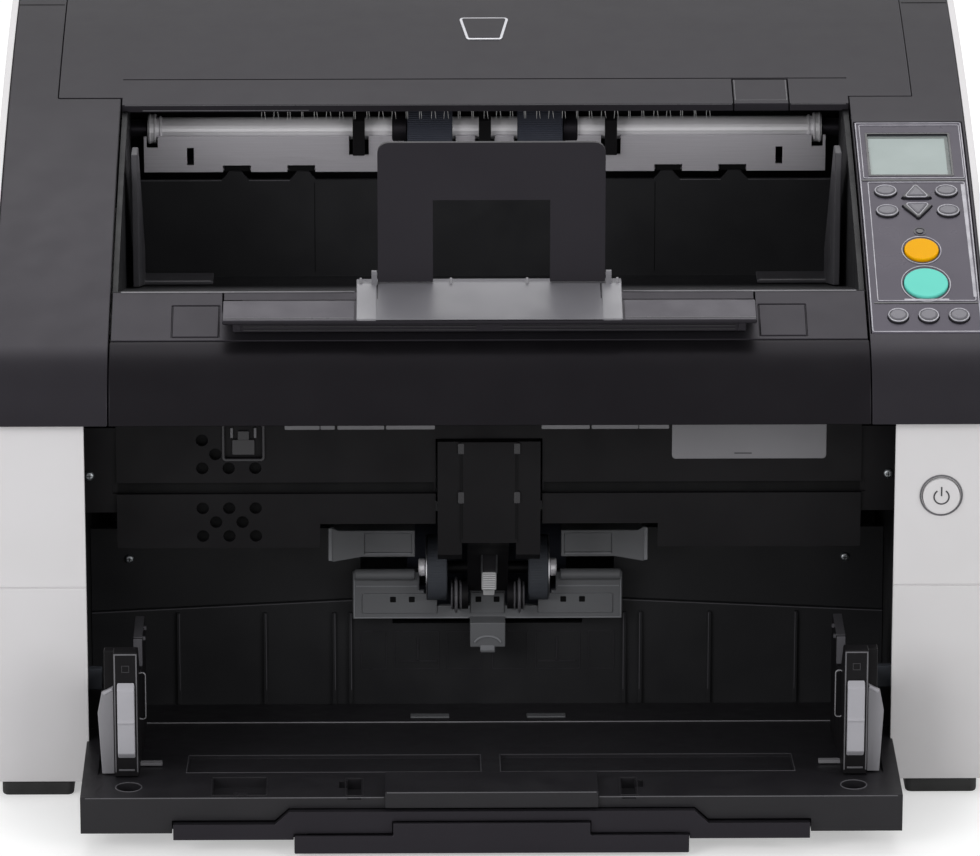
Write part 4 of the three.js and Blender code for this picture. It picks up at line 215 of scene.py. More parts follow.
# Printed film over the keys: flat clear colours, low gloss; key bodies dark as painted shade in their gaps
button_grey = moulded("button_grey_film", "#65636b", "#5e5c64", 0.28, depth=0.004, spread=0.03, ior=1.4)
key_gap_shade = moulded("key_gap_shade_film", "#242327", "#29282c", 0.4, depth=0.004)
stop_orange = moulded("stop_orange_film", "#e8a800", "#e4a300", 0.3, depth=0.004, spread=0.03, ior=1.13)
scan_green = moulded("scan_green_film", "#6ad3c3", "#64ccbc", 0.3, depth=0.004, spread=0.03, ior=1.2)
# Moulded rubber: dull, with the dust that a roller picks up
rubber_navy = moulded("navy_rubber", "#343742", "#3a3d48", 0.75, grain=0.5, depth=0.04, ior=1.4)
rubber_slate = moulded("slate_rubber", "#34373d", "#3b3e45", 0.7, grain=0.5, depth=0.04, ior=1.4)
# Brush fibre: pale, so that single strands show against the black
brush_grey = moulded("brush_fibre", "#d2d2d2", "#e0e0e0", 0.5)
# Polyester label stock: a flat even grey
label_grey = moulded("label_grey_polyester", "#6d6c70", "#68676b", 0.4, depth=0.003)
# Display: grey-green crystal under smooth glass, darker where its rim shades it
display_green = moulded("display_green", "#869391", "#7f8c8a", 0.22, depth=0.002, cloud=30, spread=0.02)
display_shade = moulded("display_shade", "#4c5453", "#454d4c", 0.3, depth=0.002)
# Glass-fibre laminate: green, darker in patches where copper lies under it
board_green = moulded("board_green_laminate", "#1f5a37", "#174a2c", 0.45, grain=2.2, depth=0.05, cloud=6)
# Undyed acetal of the lever: off-white and faintly waxy
lever_white = moulded("lever_white_acetal", "#d2d2d4", "#c6c6c8", 0.4, depth=0.006)
# Edges of black mouldings: near black, and two paler greys that are painted highlights
edge_black = moulded("edge_black_abs", "#232225", "#29282b", 0.32, depth=0.006, ior=1.4)
# The paler greys also colour a few small pale parts: prongs, posts, rings and wire loops
edge_highlight_and_trim_grey = moulded("edge_highlight_and_trim_grey_abs", "#5b5a5e", "#4f4e52", 0.3, depth=0.006)
edge_highlight_and_trim_pale = moulded("edge_highlight_and_trim_pale_abs", "#8b8a8e", "#7a797d", 0.3, depth=0.006)
# Seams, and painted shade in holes, grooves, notches and screw crosses: hardly any light comes back
seam_and_shade_black = moulded("seam_and_shade_black_abs", "#070708", "#0a0a0b", 0.7, depth=0.006, ior=1.2)
# Printing ink: dark grey and flat
mark_grey = moulded("mark_grey_ink", "#2c2b2f", "#323135", 0.45, depth=0.003)
# Black powder coat on sheet steel
coated_steel = moulded("black_coated_steel", "#161617", "#1c1c1e", 0.5, grain=0.7, depth=0.02, ior=1.35)
# Zinc-plated steel: light grey, with faint uneven patches
zinc_steel = metal("zinc_plated_steel", "#9da0a3", "#8f9396", 0.4, 6, (1, 1, 1))
# Ground chrome of the shaft: pale and satin, a painted sheen kept from mirroring the black round it
painted_sheen_chrome = metal("ground_chrome_painted_sheen", "#f6f4f8", "#f4f2f6", 0.26, 4, (1, 30, 30), depth=0.00002, spread=0.01,
               metallic=0.2)
# Stainless sheet, brushed along its length, so highlights spread up and down
stainless = metal("brushed_stainless", "#d3d0d6", "#cdcad0", 0.44, 0.4, (60, 1, 1), depth=0.0008,
                  spread=0.03)
# Silver paint on thin rims: bright, with a fine sparkle
silver_paint = metal("silver_paint", "#c4c4c8", "#b4b4b9", 0.35, 0.4, (1, 1, 1), depth=0.002)
# Dark enamel on the motor's case: smooth, with an even gloss
motor_enamel = moulded("motor_enamel", "#232325", "#2a2a2c", 0.4)

KEYS = ["menu_button", "function_button", "send_button", "clear_button", "up_button", "down_button",
        "counter_button_left", "counter_button_centre", "counter_button_right"]
FEET = ["foot_front_left", "foot_front_right", "foot_rear_left", "foot_rear_right"]
LOOKS = {
    beam_shaded_black: ["front_beam"],
    satin_black: ["left_top_cover", "right_top_cover", "adf_cover", "adf_latch", "stacker_front_cover",
                  "stacker_extension", "stopper_flap", "hopper_extension", "hopper_extension_end"],
    matt_shaded_black: ["upper_scan_unit", "lower_scan_unit", "inner_panel", "pick_arm", "left_hopper_guide",
                 "right_hopper_guide"],
    tray_lit_black: ["stacker_tray", "hopper_back_wall"],
    table_lit_black: ["hopper_table"],
    fin_and_highlight_grey: ["left_stacker_guide", "right_stacker_guide"],
    shell_white: ["left_side_shell", "right_side_shell", "rear_cover", "power_button"],
    guide_grey: ["pick_guide", "sheet_guide"],
    grip_and_highlight_grey: ["left_guide_grip", "right_guide_grip"],
    slide_grey: ["stopper_slide"],
    foot_rubber: FEET,
    panel_grey: ["panel_body"],
    key_gap_shade: KEYS,
    stop_orange: ["stop_button"],
    scan_green: ["scan_button"],
    rubber_navy: ["eject_roller_left", "eject_roller_right", "pick_roller_left", "pick_roller_right",
                  "feed_roller", "brake_roller"],
    brush_grey: ["static_brush"],
    display_green: ["lcd_display"],
    board_green: ["main_board"],
    coated_steel: ["chassis"],
    zinc_steel: ["power_supply"],
    painted_sheen_chrome: ["eject_shaft"],
    stainless: ["exit_plate"],
    motor_enamel: ["drive_motor"],
}

for material, names in LOOKS.items():
    for name in names:
        mesh = frame["nodes"][name].data
        mesh.materials.clear()
        mesh.materials.append(material)


# Shapes worked out on grids, in millimetres

def offset(path, across, closed=False):
    """A flat path moved to its left: each point goes along the sum of its edge normals, as at a mitre."""
    path = np.asarray(path, float)
    step = np.roll(path, -1, axis=0) - path
    if not closed:
        step[-1] = step[-2]
    normal = np.stack([-step[:, 1], step[:, 0]], axis=1) / np.linalg.norm(step, axis=1)[:, None]
    before = np.roll(normal, 1, axis=0)
    if not closed:
        before[0] = normal[0]
    return path + across * (normal + before) / (1 + (normal * before).sum(axis=1))[:, None]


def rounded(corners, radius, steps=5):
    """A convex counterclockwise outline: each corner, pulled in, swept from one edge normal to the next."""
    corners = np.asarray(corners, float)
    core = offset(corners, radius, closed=True)
    step = np.roll(corners, -1, axis=0) - corners
    heading = np.arctan2(step[:, 1], step[:, 0]) - np.pi / 2
    before = np.roll(heading, 1)
    turn = before[:, None] + ((heading - before) % (2 * np.pi))[:, None] * np.linspace(0, 1, steps)
    sweep = np.stack([np.cos(turn), np.sin(turn)], axis=-1)
    return (core[:, None, :] + radius * sweep).reshape(-1, 2)


def rectangle(left, bottom, right, top, corner=0):
    """A rectangle's corners, counterclockwise, rounded where a corner radius is given."""
    corners = np.array([(left, bottom), (right, bottom), (right, top), (left, top)], float)
    return rounded(corners, corner) if corner else corners


def ellipse(across, along, half_width, half_length, start=0, end=360, steps=48):
    """Points at even angles on an ellipse, a closed one without its last point."""
    turn = np.radians(np.linspace(start, end, steps, endpoint=end - start < 360))
    return np.stack([across + half_width * np.cos(turn), along + half_length * np.sin(turn)], axis=1)


def mirrored(outline):
    """The outline on the other side of the machine, turned round so that it still runs counterclockwise."""
    return np.asarray(outline, float)[::-1] * (-1, 1)


def sided(outline, side_name):
    """An outline that is written for the right side, on the side that is named."""
    return mirrored(outline) if side_name == "left" else np.asarray(outline, float)


def both_sides(outline):
    """The outline on the right side and on the left."""
    return [sided(outline, side_name) for side_name in ("right", "left")]


def all_sides(outlines):
    """Several outlines, each on both sides."""
    return [side for outline in outlines for side in both_sides(outline)]


def dense(path, pitch=10):
    """A path with points added evenly along its length, at most a pitch apart."""
    path = np.asarray(path, float)
    gone = np.concatenate([[0], np.cumsum(np.linalg.norm(np.diff(path, axis=0), axis=1))])
    marks = np.unique(np.concatenate([gone, np.linspace(0, gone[-1], int(gone[-1] / pitch) + 2)]))
    return np.stack([np.interp(marks, gone, path[:, 0]), np.interp(marks, gone, path[:, 1])], axis=1)


def dense_ring(outline, pitch=10):
    """A closed outline with points added evenly along it."""
    return dense(np.concatenate([outline, outline[:1]]), pitch)[:-1]


def stacked(x, y, z):
    """Points in space from three arrays of matching shape."""
    return np.stack(np.broadcast_arrays(x, y, z), axis=-1)


def on_top(across, along, height):
    """Above the machine's curved top: out from the middle of its arc by its radius and the height."""
    lean = (along - slope_centre_y) / slope_radius
    reach = slope_radius + height
    rise = reach * np.sqrt(1 - lean ** 2)
    return stacked(across, slope_centre_y + reach * lean, slope_centre_height + rise)


def on_table(across, along, height):
    """Above the hopper table: level in front, then falling to the back at a steady slope."""
    top = table_top - np.maximum(along - table_break, 0) * math.tan(table_angle)
    return stacked(across, along, top + height)


def on_web(across, along, height):
    """In front of the pick arm's sloping web: across and up, with the front found between two points."""
    return stacked(across, np.interp(along, web_heights, web_fronts) - height, along)


def facing_front(y):
    """On an upright plane at y: across and up, with the height towards the front."""
    return lambda across, along, height: stacked(across, y - height, along)


def facing_back(y):
    """On an upright plane at y: to the left and up, with the height towards the back."""
    return lambda across, along, height: stacked(-across, y + height, along)


def facing_up(z):
    """On a level plane at z: across and to the back, with the height upwards."""
    return lambda across, along, height: stacked(across, along, z + height)


def quads(rows, columns, wrap_rows, wrap_columns):
    """Corner numbers of a grid's faces: (row, column), next column, next row and column, next row."""
    row, column = np.meshgrid(np.arange(rows if wrap_rows else rows - 1),
                              np.arange(columns if wrap_columns else columns - 1), indexing="ij")
    below, beside = (row + 1) % rows, (column + 1) % columns
    corners = [row * columns + column, row * columns + beside,
               below * columns + beside, below * columns + column]
    return np.stack(corners, axis=-1).reshape(-1, 4)


def raised(outline, profile, place):
    """A pad: each (inset, height) of the profile is a ring, the counterclockwise outline moved inwards."""
    rings = [(offset(outline, inset, closed=True), height) for inset, height in profile]
    grid = np.stack([place(ring[:, 0], ring[:, 1], height) for ring, height in rings])
    rows, columns = grid.shape[:2]
    ring = np.arange(columns)
    return grid.reshape(-1, 3), quads(rows, columns, False, True), [ring[::-1], ring + (rows - 1) * columns]


def carried(path, section, place, closed=False):
    """A strip: each (across, height) of the section is a line beside the path, on its left."""
    lines = [(offset(path, across, closed), height) for across, height in section]
    grid = np.stack([place(line[:, 0], line[:, 1], height) for line, height in lines])
    rows, columns = grid.shape[:2]
    edge = np.arange(rows) * columns
    caps = [] if closed else [edge[::-1], edge + columns - 1]
    return grid.reshape(-1, 3), quads(rows, columns, True, closed)[:, ::-1], caps


def pads(outlines, profile, place):
    """Several pads with one profile."""
    return [raised(outline, profile, place) for outline in outlines]


def strips(paths, section, place, closed=False):
    """Several strips with one section."""
    return [carried(path, section, place, closed) for path in paths]


rim_depth = 0.6


def turned(loop, y, z, steps=64, ribs=0, depth=0):
    """A ring about an axis along X: a closed (x, radius) loop swept round; ribs are a cosine on its rim."""
    x, radius = np.asarray(loop, float).T
    turn = np.linspace(0, 2 * np.pi, steps, endpoint=False)
    rim = (radius > radius.max() - rim_depth)[:, None]
    reach = radius[:, None] - rim * depth * (0.5 + 0.5 * np.cos(ribs * turn))
    grid = stacked(x[:, None], y + reach * np.cos(turn), z + reach * np.sin(turn))
    return grid.reshape(-1, 3), quads(len(x), steps, True, True)[:, ::-1], []


def strip(width, height, sink=0.25):
    """The section of a thin strip with its upper edges eased."""
    half, ease = width / 2, min(width, height) / 4
    return [(-half, -sink), (half, -sink), (half, height - ease), (half - ease, height),
            (ease - half, height), (-half, height - ease)]


def pad(height, edge=0.3, sink=0.25):
    """The profile of a pad with a rounded edge."""
    return [(0, -sink), (0, height - edge), (edge * 0.3, height - edge * 0.3), (edge, height)]


crease_angle = math.radians(40)


def piece(name, body, material, parts):
    """One mesh from one or more parts, riding on a body."""
    points, faces, start = [], [], 0
    for corners, sides, caps in parts:
        points.append(corners)
        faces += (sides + start).tolist() + [(cap + start).tolist() for cap in caps]
        start += len(corners)
    mesh = bpy.data.meshes.new(name)
    mesh.from_pydata((np.concatenate(points) * MM).tolist(), [], faces)
    mesh.materials.append(material)
    mesh.shade_smooth()
    mesh.set_sharp_from_angle(angle=crease_angle)
    made = bpy.data.objects.new(name, mesh)
    bpy.context.scene.collection.objects.link(made)
    shading = made.modifiers.new("shading", "WEIGHTED_NORMAL")
    shading.keep_sharp = True
    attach(made, body)
    return made


# Operator panel: film edges, display border, key caps and rims; power sign and its ring
# The film edges and key rims are painted highlights, and the key bodies painted shade in the gaps

panel_face = -0.3
film_height = 0.25
film_sink = 0.6
key_top = 0.6
button_centre = 205.7
button_face = -136.8
shell_face = -135.0


def film_edge(path, width, closed=True):
    """A thin raised edge of the panel's film."""
    line = dense_ring(path) if closed else dense(path)
    return carried(line, strip(width, panel_face + film_height, film_sink), on_top, closed)


def film_ring(outline, width, height, sink):
    """A closed strip that stands in the panel's film."""
    return carried(outline, strip(width, panel_face + height, sink), on_top, closed=True)


piece("panel_film_edge_highlights", "frame", film_highlight, [
    film_edge(rectangle(174.9, -111.2, 224.5, 36.4, 0.8), 0.45),
    film_edge(rectangle(176.5, -7.6, 223.6, 34.6, 0.8), 0.4),
    film_edge(rectangle(178.2, -92.2, 223.2, -10.8, 0.8), 0.4),
    film_edge([(223.0, -90), (222.2, -12.5)], 1.5, closed=False),
    film_edge([(190.4, -91.6), (210.9, -91.6)], 0.9, closed=False),
])
piece("panel_film_steps", "frame", film_dark, [
    film_edge([(176.5, -93.6), (223.9, -93.6)], 0.7, closed=False),
    film_edge([(175.6, -9.2), (223.9, -9.2)], 1.0, closed=False),
])
piece("display_border", "frame", film_dark, [
    film_ring(dense_ring(rectangle(179.4, -5.5, 218.4, 27.8)), 1.0, 0.15, 1.5),
])
mask_parts = [rectangle(180.2, 24.9, 217.6, 27.0), rectangle(216.2, 5, 217.6, 24.9),
              rectangle(216.2, -4.7, 217.6, 5)]
piece("display_mask", "frame", display_shade, pads(
    [dense(part, 50) for part in mask_parts], pad(-1.0, 0.02, 1.3), on_top))


def triangle(across, along, width, length, direction, corner):
    """A rounded triangle that points back, or to the front where the direction is -1."""
    points = np.array([(-width / 2, -length / 2), (width / 2, -length / 2), (0, length / 2)]) * direction
    return rounded(points + (across, along), corner)


def key(node, cap_outline, rim_outline):
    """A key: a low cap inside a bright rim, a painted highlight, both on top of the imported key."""
    body = BODY_OF[node]
    cap = [(0, key_top - 0.3), (0, key_top + 0.35), (0.25, key_top + 0.55), (0.8, key_top + 0.65)]
    piece(f"{node}_cap", body, button_grey, [raised(cap_outline, cap, on_top)])
    rim = strip(0.6, key_top + 0.35, 0.05 - key_top)
    piece(f"{node}_rim", body, film_highlight, [carried(rim_outline, rim, on_top, closed=True)])


for node, across, along in (("menu_button", 186, -18), ("function_button", 214.4, -18),
                            ("send_button", 186, -32.4), ("clear_button", 214.4, -32.4)):
    key(node, ellipse(across, along, 4.1, 3.0), ellipse(across, along, 4.85, 3.75))
for node, along, direction in (("up_button", -18.2, 1), ("down_button", -32.05, -1)):
    key(node, triangle(200.2, along - 0.2 * direction, 9.0, 7.2, direction, 0.7),
        triangle(200.2, along, 11.4, 9.3, direction, 1.0))
for node, across in (("counter_button_left", 186.95), ("counter_button_centre", 200.9),
                     ("counter_button_right", 214.85)):
    key(node, ellipse(across, -101.9, 3.6, 3.1), ellipse(across, -101.9, 4.35, 3.85))
piece("round_button_rim_highlights", "frame", film_highlight, [
    film_ring(ellipse(200.2, -59.3, 9.0, 9.2), 0.4, 0.3, 0.5),
    film_ring(ellipse(200.9, -81.4, 11.2, 11.4), 0.4, 0.3, 0.5),
])
piece("status_lamp", "frame", film_dark, [
    raised(ellipse(200.2, -46.5, 1.6, 1.5), pad(panel_face + 0.5, 0.2, 0.6), on_top),
    film_ring(ellipse(200.2, -46.5, 2.6, 2.5), 0.4, 0.2, 0.5),
])
piece("power_symbol", BODY_OF["power_button"], mark_grey, strips(
    [ellipse(button_centre, 144.5, 3.4, 3.4, 125, 415), [(button_centre, 144.9), (button_centre, 149.3)]],
    strip(0.65, 0.2), facing_front(button_face)))
button_ring = ellipse(button_centre, 144.7, 9.5, 9.5)
piece("power_button_ring", "frame", edge_highlight_and_trim_grey, [
    carried(button_ring, strip(0.7, 0.45), facing_front(shell_face), closed=True),
])


# Feeder cover: bare badge, painted highlights on the release tab's and lip's edges, cross seams

badge = rounded([(-8.6, 114.6), (8.6, 114.6), (12.2, 137.6), (-12.2, 137.6)], 2.2)
badge_field = offset(badge, 1.3, closed=True)
tab_edge = [(119.0, 74.4), (119.0, 56.2), (143.5, 56.2), (143.5, 74.4)]
lip_y = 53.5
lip_top = on_top(0.0, lip_y, 0.0)[2]
piece("badge_rim", "feeder_cover", silver_paint, [raised(badge, pad(0.5, 0.3), on_top)])
piece("badge_face", "feeder_cover", satin_black, [raised(badge_field, pad(0.75, 0.2), on_top)])
piece("release_tab_highlight", "release_tab", edge_highlight_and_trim_grey, [
    carried(dense(tab_edge, 6), strip(0.35, 0.12), on_top),
])
piece("lid_lip_highlights", "feeder_cover", edge_highlight_and_trim_grey, strips(
    [[(-171.5, lip_top - 0.35), (117.2, lip_top - 0.35)],
     [(145.3, lip_top - 0.35), (171.5, lip_top - 0.35)],
     [(-163, lip_top - 2.9), (-84, lip_top - 2.9)]],
    strip(0.4, 0.15), facing_front(lip_y)))
piece("cover_cross_seams", "frame", seam_and_shade_black, strips(
    both_sides([(204.2, 154), (226.2, 154)]), strip(0.7, 0.06), on_top))


# Tufted brush under the lip, with its holder

brush_low, brush_high = np.array(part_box("static_brush")) / MM
brush_y = (brush_low[1] + brush_high[1]) / 2
brush_root = brush_low[2] + 12.5
tuft_pitch = 6.27
tuft_numbers = np.arange(-17, 18)
tufts = tuft_numbers * tuft_pitch


def bristles(roots, spread, base, tip):
    """Bristles: triangles about a line from root to tip, which leans and is a sixth as wide at the tip."""
    turn = np.radians([90, 210, 330])
    levels = np.array([base, (base + tip) / 2, tip])
    width = np.array([0.42, 0.3, 0.07])
    lean = np.array([0, 0.35, 1.0])
    x = roots[:, None, None] + spread[:, None, None] * lean[:, None] + width[:, None] * np.cos(turn)
    y = brush_y + 0 * x + width[:, None] * np.sin(turn)
    grid = stacked(x, y, levels[None, :, None])
    start = np.arange(len(roots)) * len(levels) * len(turn)
    sides = quads(3, 3, False, True)[:, ::-1] + start[:, None, None]
    caps = np.concatenate([start[:, None] + [0, 1, 2], start[:, None] + [8, 7, 6]])
    return grid.reshape(-1, 3), sides.reshape(-1, 4), list(caps)


strand_roots = np.repeat(tufts, 2) + np.tile([-0.25, 0.25], len(tufts))
strand_spread = np.tile([-0.2, 0.9], len(tufts)) + 0.5 * np.sin(np.arange(2 * len(tufts)) * 2.4)
brush = piece("tufted_brush", "feeder_cover", brush_grey, [
    bristles(strand_roots, strand_spread, brush_root, brush_low[2]),
])
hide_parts("static_brush")
piece("brush_holder", "feeder_cover", satin_black, [
    raised(rectangle(brush_low[0], brush_low[2] + 11, brush_high[0], brush_high[2]), [(0, -1.9), (0, 0)],
           facing_front(brush_low[1])),
])


# Rubber tyres, shaft collars and bands

exit_axis = (91, 255.6)
pick_axis = (-33, 75)


def tyre(inner, outer, bore, radius):
    """The closed loop of a tyre: its bore, then its rim with eased corners."""
    ease = 0.5
    return np.array([(inner, bore), (outer, bore), (outer, radius - ease), (outer - ease, radius),
                     (inner + ease, radius), (inner, radius - ease)])


for side_name in ("left", "right"):
    exit_loop = sided(tyre(15.6, 37.3, 5.7, 12.0), side_name)
    pick_loop = sided(tyre(19.1, 28.6, 3.2, 15.5), side_name)
    exit_tyre = piece(f"exit_tyre_{side_name}", "exit_rollers", rubber_navy,
                      [turned(exit_loop, *exit_axis, 288, 72, 0.3)])
    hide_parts(f"eject_roller_{side_name}")
    pick_tyre = piece(f"pick_tyre_{side_name}", "pick_rollers", rubber_slate,
                      [turned(pick_loop, *pick_axis, 360, 120, 0.16)])
    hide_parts(f"pick_roller_{side_name}")
collar_loops = [tyre(37.4, 44.6, 5.3, 8.2), tyre(162.2, 187.4, 2.8, 4.4)]
band_loops = [tyre(158.2, 159.2, 6.6, 7.4), tyre(160.6, 161.8, 6.6, 7.4), tyre(155.4, 156.6, 5.2, 6.2)]
piece("exit_shaft_collars", "exit_rollers", satin_black,
      [turned(loop, *exit_axis) for loop in all_sides(collar_loops)])
piece("exit_shaft_bands", "exit_rollers", painted_sheen_chrome,
      [turned(loop, *exit_axis) for loop in all_sides(band_loops)])


# Stacker: shades in the exit plate's notches, edges and seams of the tray, edges of its guides
# The exit notches' dark pads are painted shade, and the tray's and guides' pale edges painted highlights

tray_wall = 82
tray_crest = 227.4
notches = [rectangle(82.2, 235.8, 94.5, 239.3), rectangle(113.1, 235.8, 125.5, 239.3)]
piece("exit_notch_shades", "frame", seam_and_shade_black, pads(
    all_sides(notches), [(0, -0.2), (0, 0.05)], facing_front(85.45)))
piece("tray_wall_highlights", "frame", edge_highlight_and_trim_grey, strips(
    all_sides([[(93.9, 232.1), (113.6, 232.1)], [(126.8, 232.1), (169.5, 232.1)]]),
    strip(0.35, 0.12), facing_front(tray_wall)))
piece("tray_wall_seams", "frame", seam_and_shade_black, strips(
    both_sides([(82.0, 186), (82.0, 231)]), strip(0.35, 0.08), facing_front(tray_wall)))
piece("tray_ridge_highlight", "frame", edge_highlight_and_trim_pale, strips(
    both_sides([(61.6, -85.9), (168.6, -85.9)]), strip(0.6, 0.3), facing_up(tray_crest)))
for side_name in ("left", "right"):
    edge = sided([(132.2, 67.4), (164.8, 67.4)], side_name)
    piece(f"{side_name}_stacker_foot_highlight", f"{side_name}_stacker_guide", edge_highlight_and_trim_pale,
          [carried(edge, strip(0.5, 0.25), facing_up(186.05))])


# Stacker: seams, end caps and posts of the slide, face and ridges of the lip, bridge behind it
# The lip's grey face is painted light, and the pale strip along its edge a painted highlight

slide_places = (-121.6, -95)
slide_heights = (224.9, 234.6)
lip_places = (-121, -106.2)
lip_heights = (224.3, 229.25)
lip_front = -121.0
chin_front = -112


def on_slide(across, along, height):
    """Above the slide's slope: straight from its front lip up to its crest."""
    return stacked(across, along, np.interp(along, slide_places, slide_heights) + height)


def on_lip(across, along, height):
    """Above the extension's lip: straight from its front edge up to its crest."""
    return stacked(across, along, np.interp(along, lip_places, lip_heights) + height)


piece("slide_end_seams", "stopper_slide", edge_black, strips(
    [[(x, -121.2), (x, -96.0)] for x in (-51, 51)], strip(0.5, 0.12, 0.5), on_slide))
piece("slide_end_caps", "stopper_slide", cap_grey, pads(
    both_sides(rectangle(51.5, -121.2, 60.3, -96.2, 0.4)), pad(0.35, 0.2, 0.6), on_slide))
piece("slide_posts", "stopper_slide", edge_highlight_and_trim_pale, pads(
    [rectangle(x - 0.6, -96.0, x + 0.6, -94.4, 0.3) for x in (-58.6, -17.4, 17.4, 58.6)],
    pad(2.4, 0.4, 0.4), facing_up(234.5)))
piece("extension_lip_highlight", "stacker_extension", edge_highlight_and_trim_grey, strips(
    both_sides([(62, 225.6), (121.0, 225.6)]), strip(0.5, 0.2), facing_front(lip_front)))
piece("extension_lip_face_painted_light", "stacker_extension", lip_painted_light, pads(
    both_sides(rectangle(61.6, -120.7, 121.0, -106.4, 0.4)), [(0, -0.25), (0, 0.25)], on_lip))
bridge = [(0, 225.0), (4.8, 223.75), (4.8, 227.35), (0, 225.12)]
piece("front_cover_bridge", "frame", satin_black, strips(
    [[(-121.2, -90.7), (-60.5, -90.7)], [(60.5, -90.7), (121.2, -90.7)]], bridge, facing_up(0)))
ridge_lines = [[(6, z), (112, z)] for z in (217.4, 219.0, 220.6)]
piece("extension_chin_ridges", "stacker_extension", edge_black, strips(
    all_sides(ridge_lines), strip(0.5, 0.35), facing_front(chin_front)))
piece("extension_gussets", "stacker_extension", satin_black, pads(
    both_sides([(113.4, 216.6), (119.2, 223.6), (113.4, 223.6)]), [(0, -0.3), (0, 1.4)],
    facing_front(chin_front)))


# Feed opening: label plate, pale strips, painted shade in the groove and vents, socket, screws

panel_front = -96.5
socket_floor = -95
piece("label_plate", "frame", label_grey, [
    raised(rectangle(84.2, 149.9, 155.4, 170, 1.8), pad(0.55), facing_front(panel_front)),
])
piece("label_plate_mark", "frame", mark_grey, [
    carried([(113, 152.6), (121, 152.6)], strip(0.6, 0.1), facing_front(panel_front - 0.55)),
])
pale_spans = [(-94, -77.9), (-77.5, -70.9), (-69.7, -48.2), (-47.4, -24.9), (24.2, 46.3), (47.2, 68.7),
              (69.0, 82.8)]
piece("pale_strips", "frame", label_grey, pads(
    [rectangle(left, 164.5, right, 169.5, 0.4) for left, right in pale_spans],
    pad(0.5, 0.2), facing_front(panel_front)))
piece("panel_groove_painted_shade", "frame", seam_and_shade_black, pads(
    both_sides(rectangle(25.5, 133.4, 171.2, 138.6)), [(0, -0.2), (0, 0.15)], facing_front(-94.1)))
vent_left, vent_step, vent_row = -132.1, 6.1, 6.77
upper_vents = [(0, 0), (0, 2), (1, 1), (2, 2), (4, 2)]
lower_vents = [(0, 0), (0, 2), (1, 1), (2, 0), (2, 2), (3, 1), (4, 0), (4, 2)]
piece("vent_painted_shades", "frame", seam_and_shade_black, pads(
    [ellipse(vent_left + vent_step * column, top - vent_row * row, 3.3, 3.3, steps=20)
     for top, places in ((159.4, upper_vents), (126.4, lower_vents)) for column, row in places],
    [(0, -0.6), (0, -0.1)], facing_front(-93.5)))
socket_outline = rectangle(-122.3, 150.1, -103.8, 167.1, 1.2)
piece("socket_frame", "frame", edge_black, [
    carried(socket_outline, strip(1.3, 1.0), facing_front(panel_front), closed=True),
    raised(rectangle(-118.2, 152.2, -107.9, 159.5, 0.5), pad(1.2, 0.3), facing_front(socket_floor)),
    raised(rectangle(-115.6, 158.8, -110.4, 163.6, 0.5), pad(1.0, 0.3), facing_front(socket_floor)),
])
piece("socket_prongs", "frame", edge_highlight_and_trim_grey, pads(
    [rectangle(x, 160.4, x + 1.2, 165.2) for x in (-119.0, -108.2)],
    pad(1.1, 0.2), facing_front(socket_floor)))


def screw_heads(name, body, places, y, place=facing_front, radius=2.2):
    """Domed steel heads, each with a dark cross that is painted shade in its recess."""
    heads = [ellipse(x, z, radius, radius, steps=24) for x, z in places]
    arms = [path for x, z in places for path in ([(x - 1.1, z), (x + 1.1, z)], [(x, z - 1.1), (x, z + 1.1)])]
    piece(name, body, zinc_steel, pads(heads, [(0, -0.3), (0, 0.7), (0.5, 1.3), (1.2, 1.5)], place(y)))
    piece(f"{name}_recesses", body, seam_and_shade_black, strips(arms, strip(0.5, 1.56, -1.2), place(y)))


screw_heads("panel_screws", "frame", [(-184.2, 142), (184.2, 142)], -95.0)
screw_heads("wall_screws", "frame", [(-169.5, 77), (169.5, 77)], -25.3)
screw_heads("rear_screws", "frame", [(-208, 24), (208, 24), (-208, 262), (208, 262), (0, 24)], 215,
            facing_back, 3)


# Pick arm: lever, clips, seams, axle ends, tyre edges, discs

piece("lever_housing", "pick_arm", edge_black, [
    raised(rectangle(-3.4, 79.0, 4.5, 95.0, 1.4), pad(3.4, 0.8, 2.6), on_web),
])
piece("lever_edges", "pick_arm", silver_paint, strips(
    [[(x, 79.6), (x, 93.2)] for x in (-2.9, 4.0)], strip(0.7, 3.9, -3.0), on_web))
piece("lever", "pick_arm", lever_white, [
    raised(rectangle(-2.9, 68.0, 4.0, 80.2, 0.8), pad(4.0, 0.6, 3), on_web),
    raised(rectangle(-2.1, 63.9, 3.2, 68.6, 0.6), pad(2.8, 0.6, 2), on_web),
] + strips([[(-2.4, z), (3.5, z)] for z in np.arange(69.2, 79.8, 1.5)], strip(0.6, 4.6, -3.8), on_web))
piece("cover_clips", "pick_arm", edge_black, pads(
    all_sides([rectangle(11.4, 153.2, 14.4, 158.6, 0.6), rectangle(11.4, 129.2, 14.4, 135.0, 0.6)]),
    pad(1.3, 0.5, 0.9), facing_front(-98.5)))
piece("cover_seams", "pick_arm", seam_and_shade_black, strips(
    both_sides([(12.4, 112), (12.4, 157.5)]), strip(0.7, 0.1, 0.3), facing_front(-99.4)))
axle_loop = tyre(29.4, 32.6, 2.9, 4.2)
tyre_edge = tyre(28.65, 29.1, 3.2, 15.4)
disc_loops = [tyre(12.3, 13.3, 5.5, 7.2), tyre(14.2, 15.6, 5.5, 8.6), tyre(16.4, 17.3, 5.5, 7.2)]
disc_axis = (-41, 63.9)
piece("axle_ends", "pick_arm", painted_sheen_chrome, [turned(loop, *pick_axis, 32) for loop in both_sides(axle_loop)])
piece("pick_tyre_edges", "pick_rollers", silver_paint,
      [turned(loop, *pick_axis, 96) for loop in both_sides(tyre_edge)])
piece("disc_rims", "pick_arm", edge_highlight_and_trim_grey, [turned(loop, *disc_axis, 48) for loop in all_sides(disc_loops)])


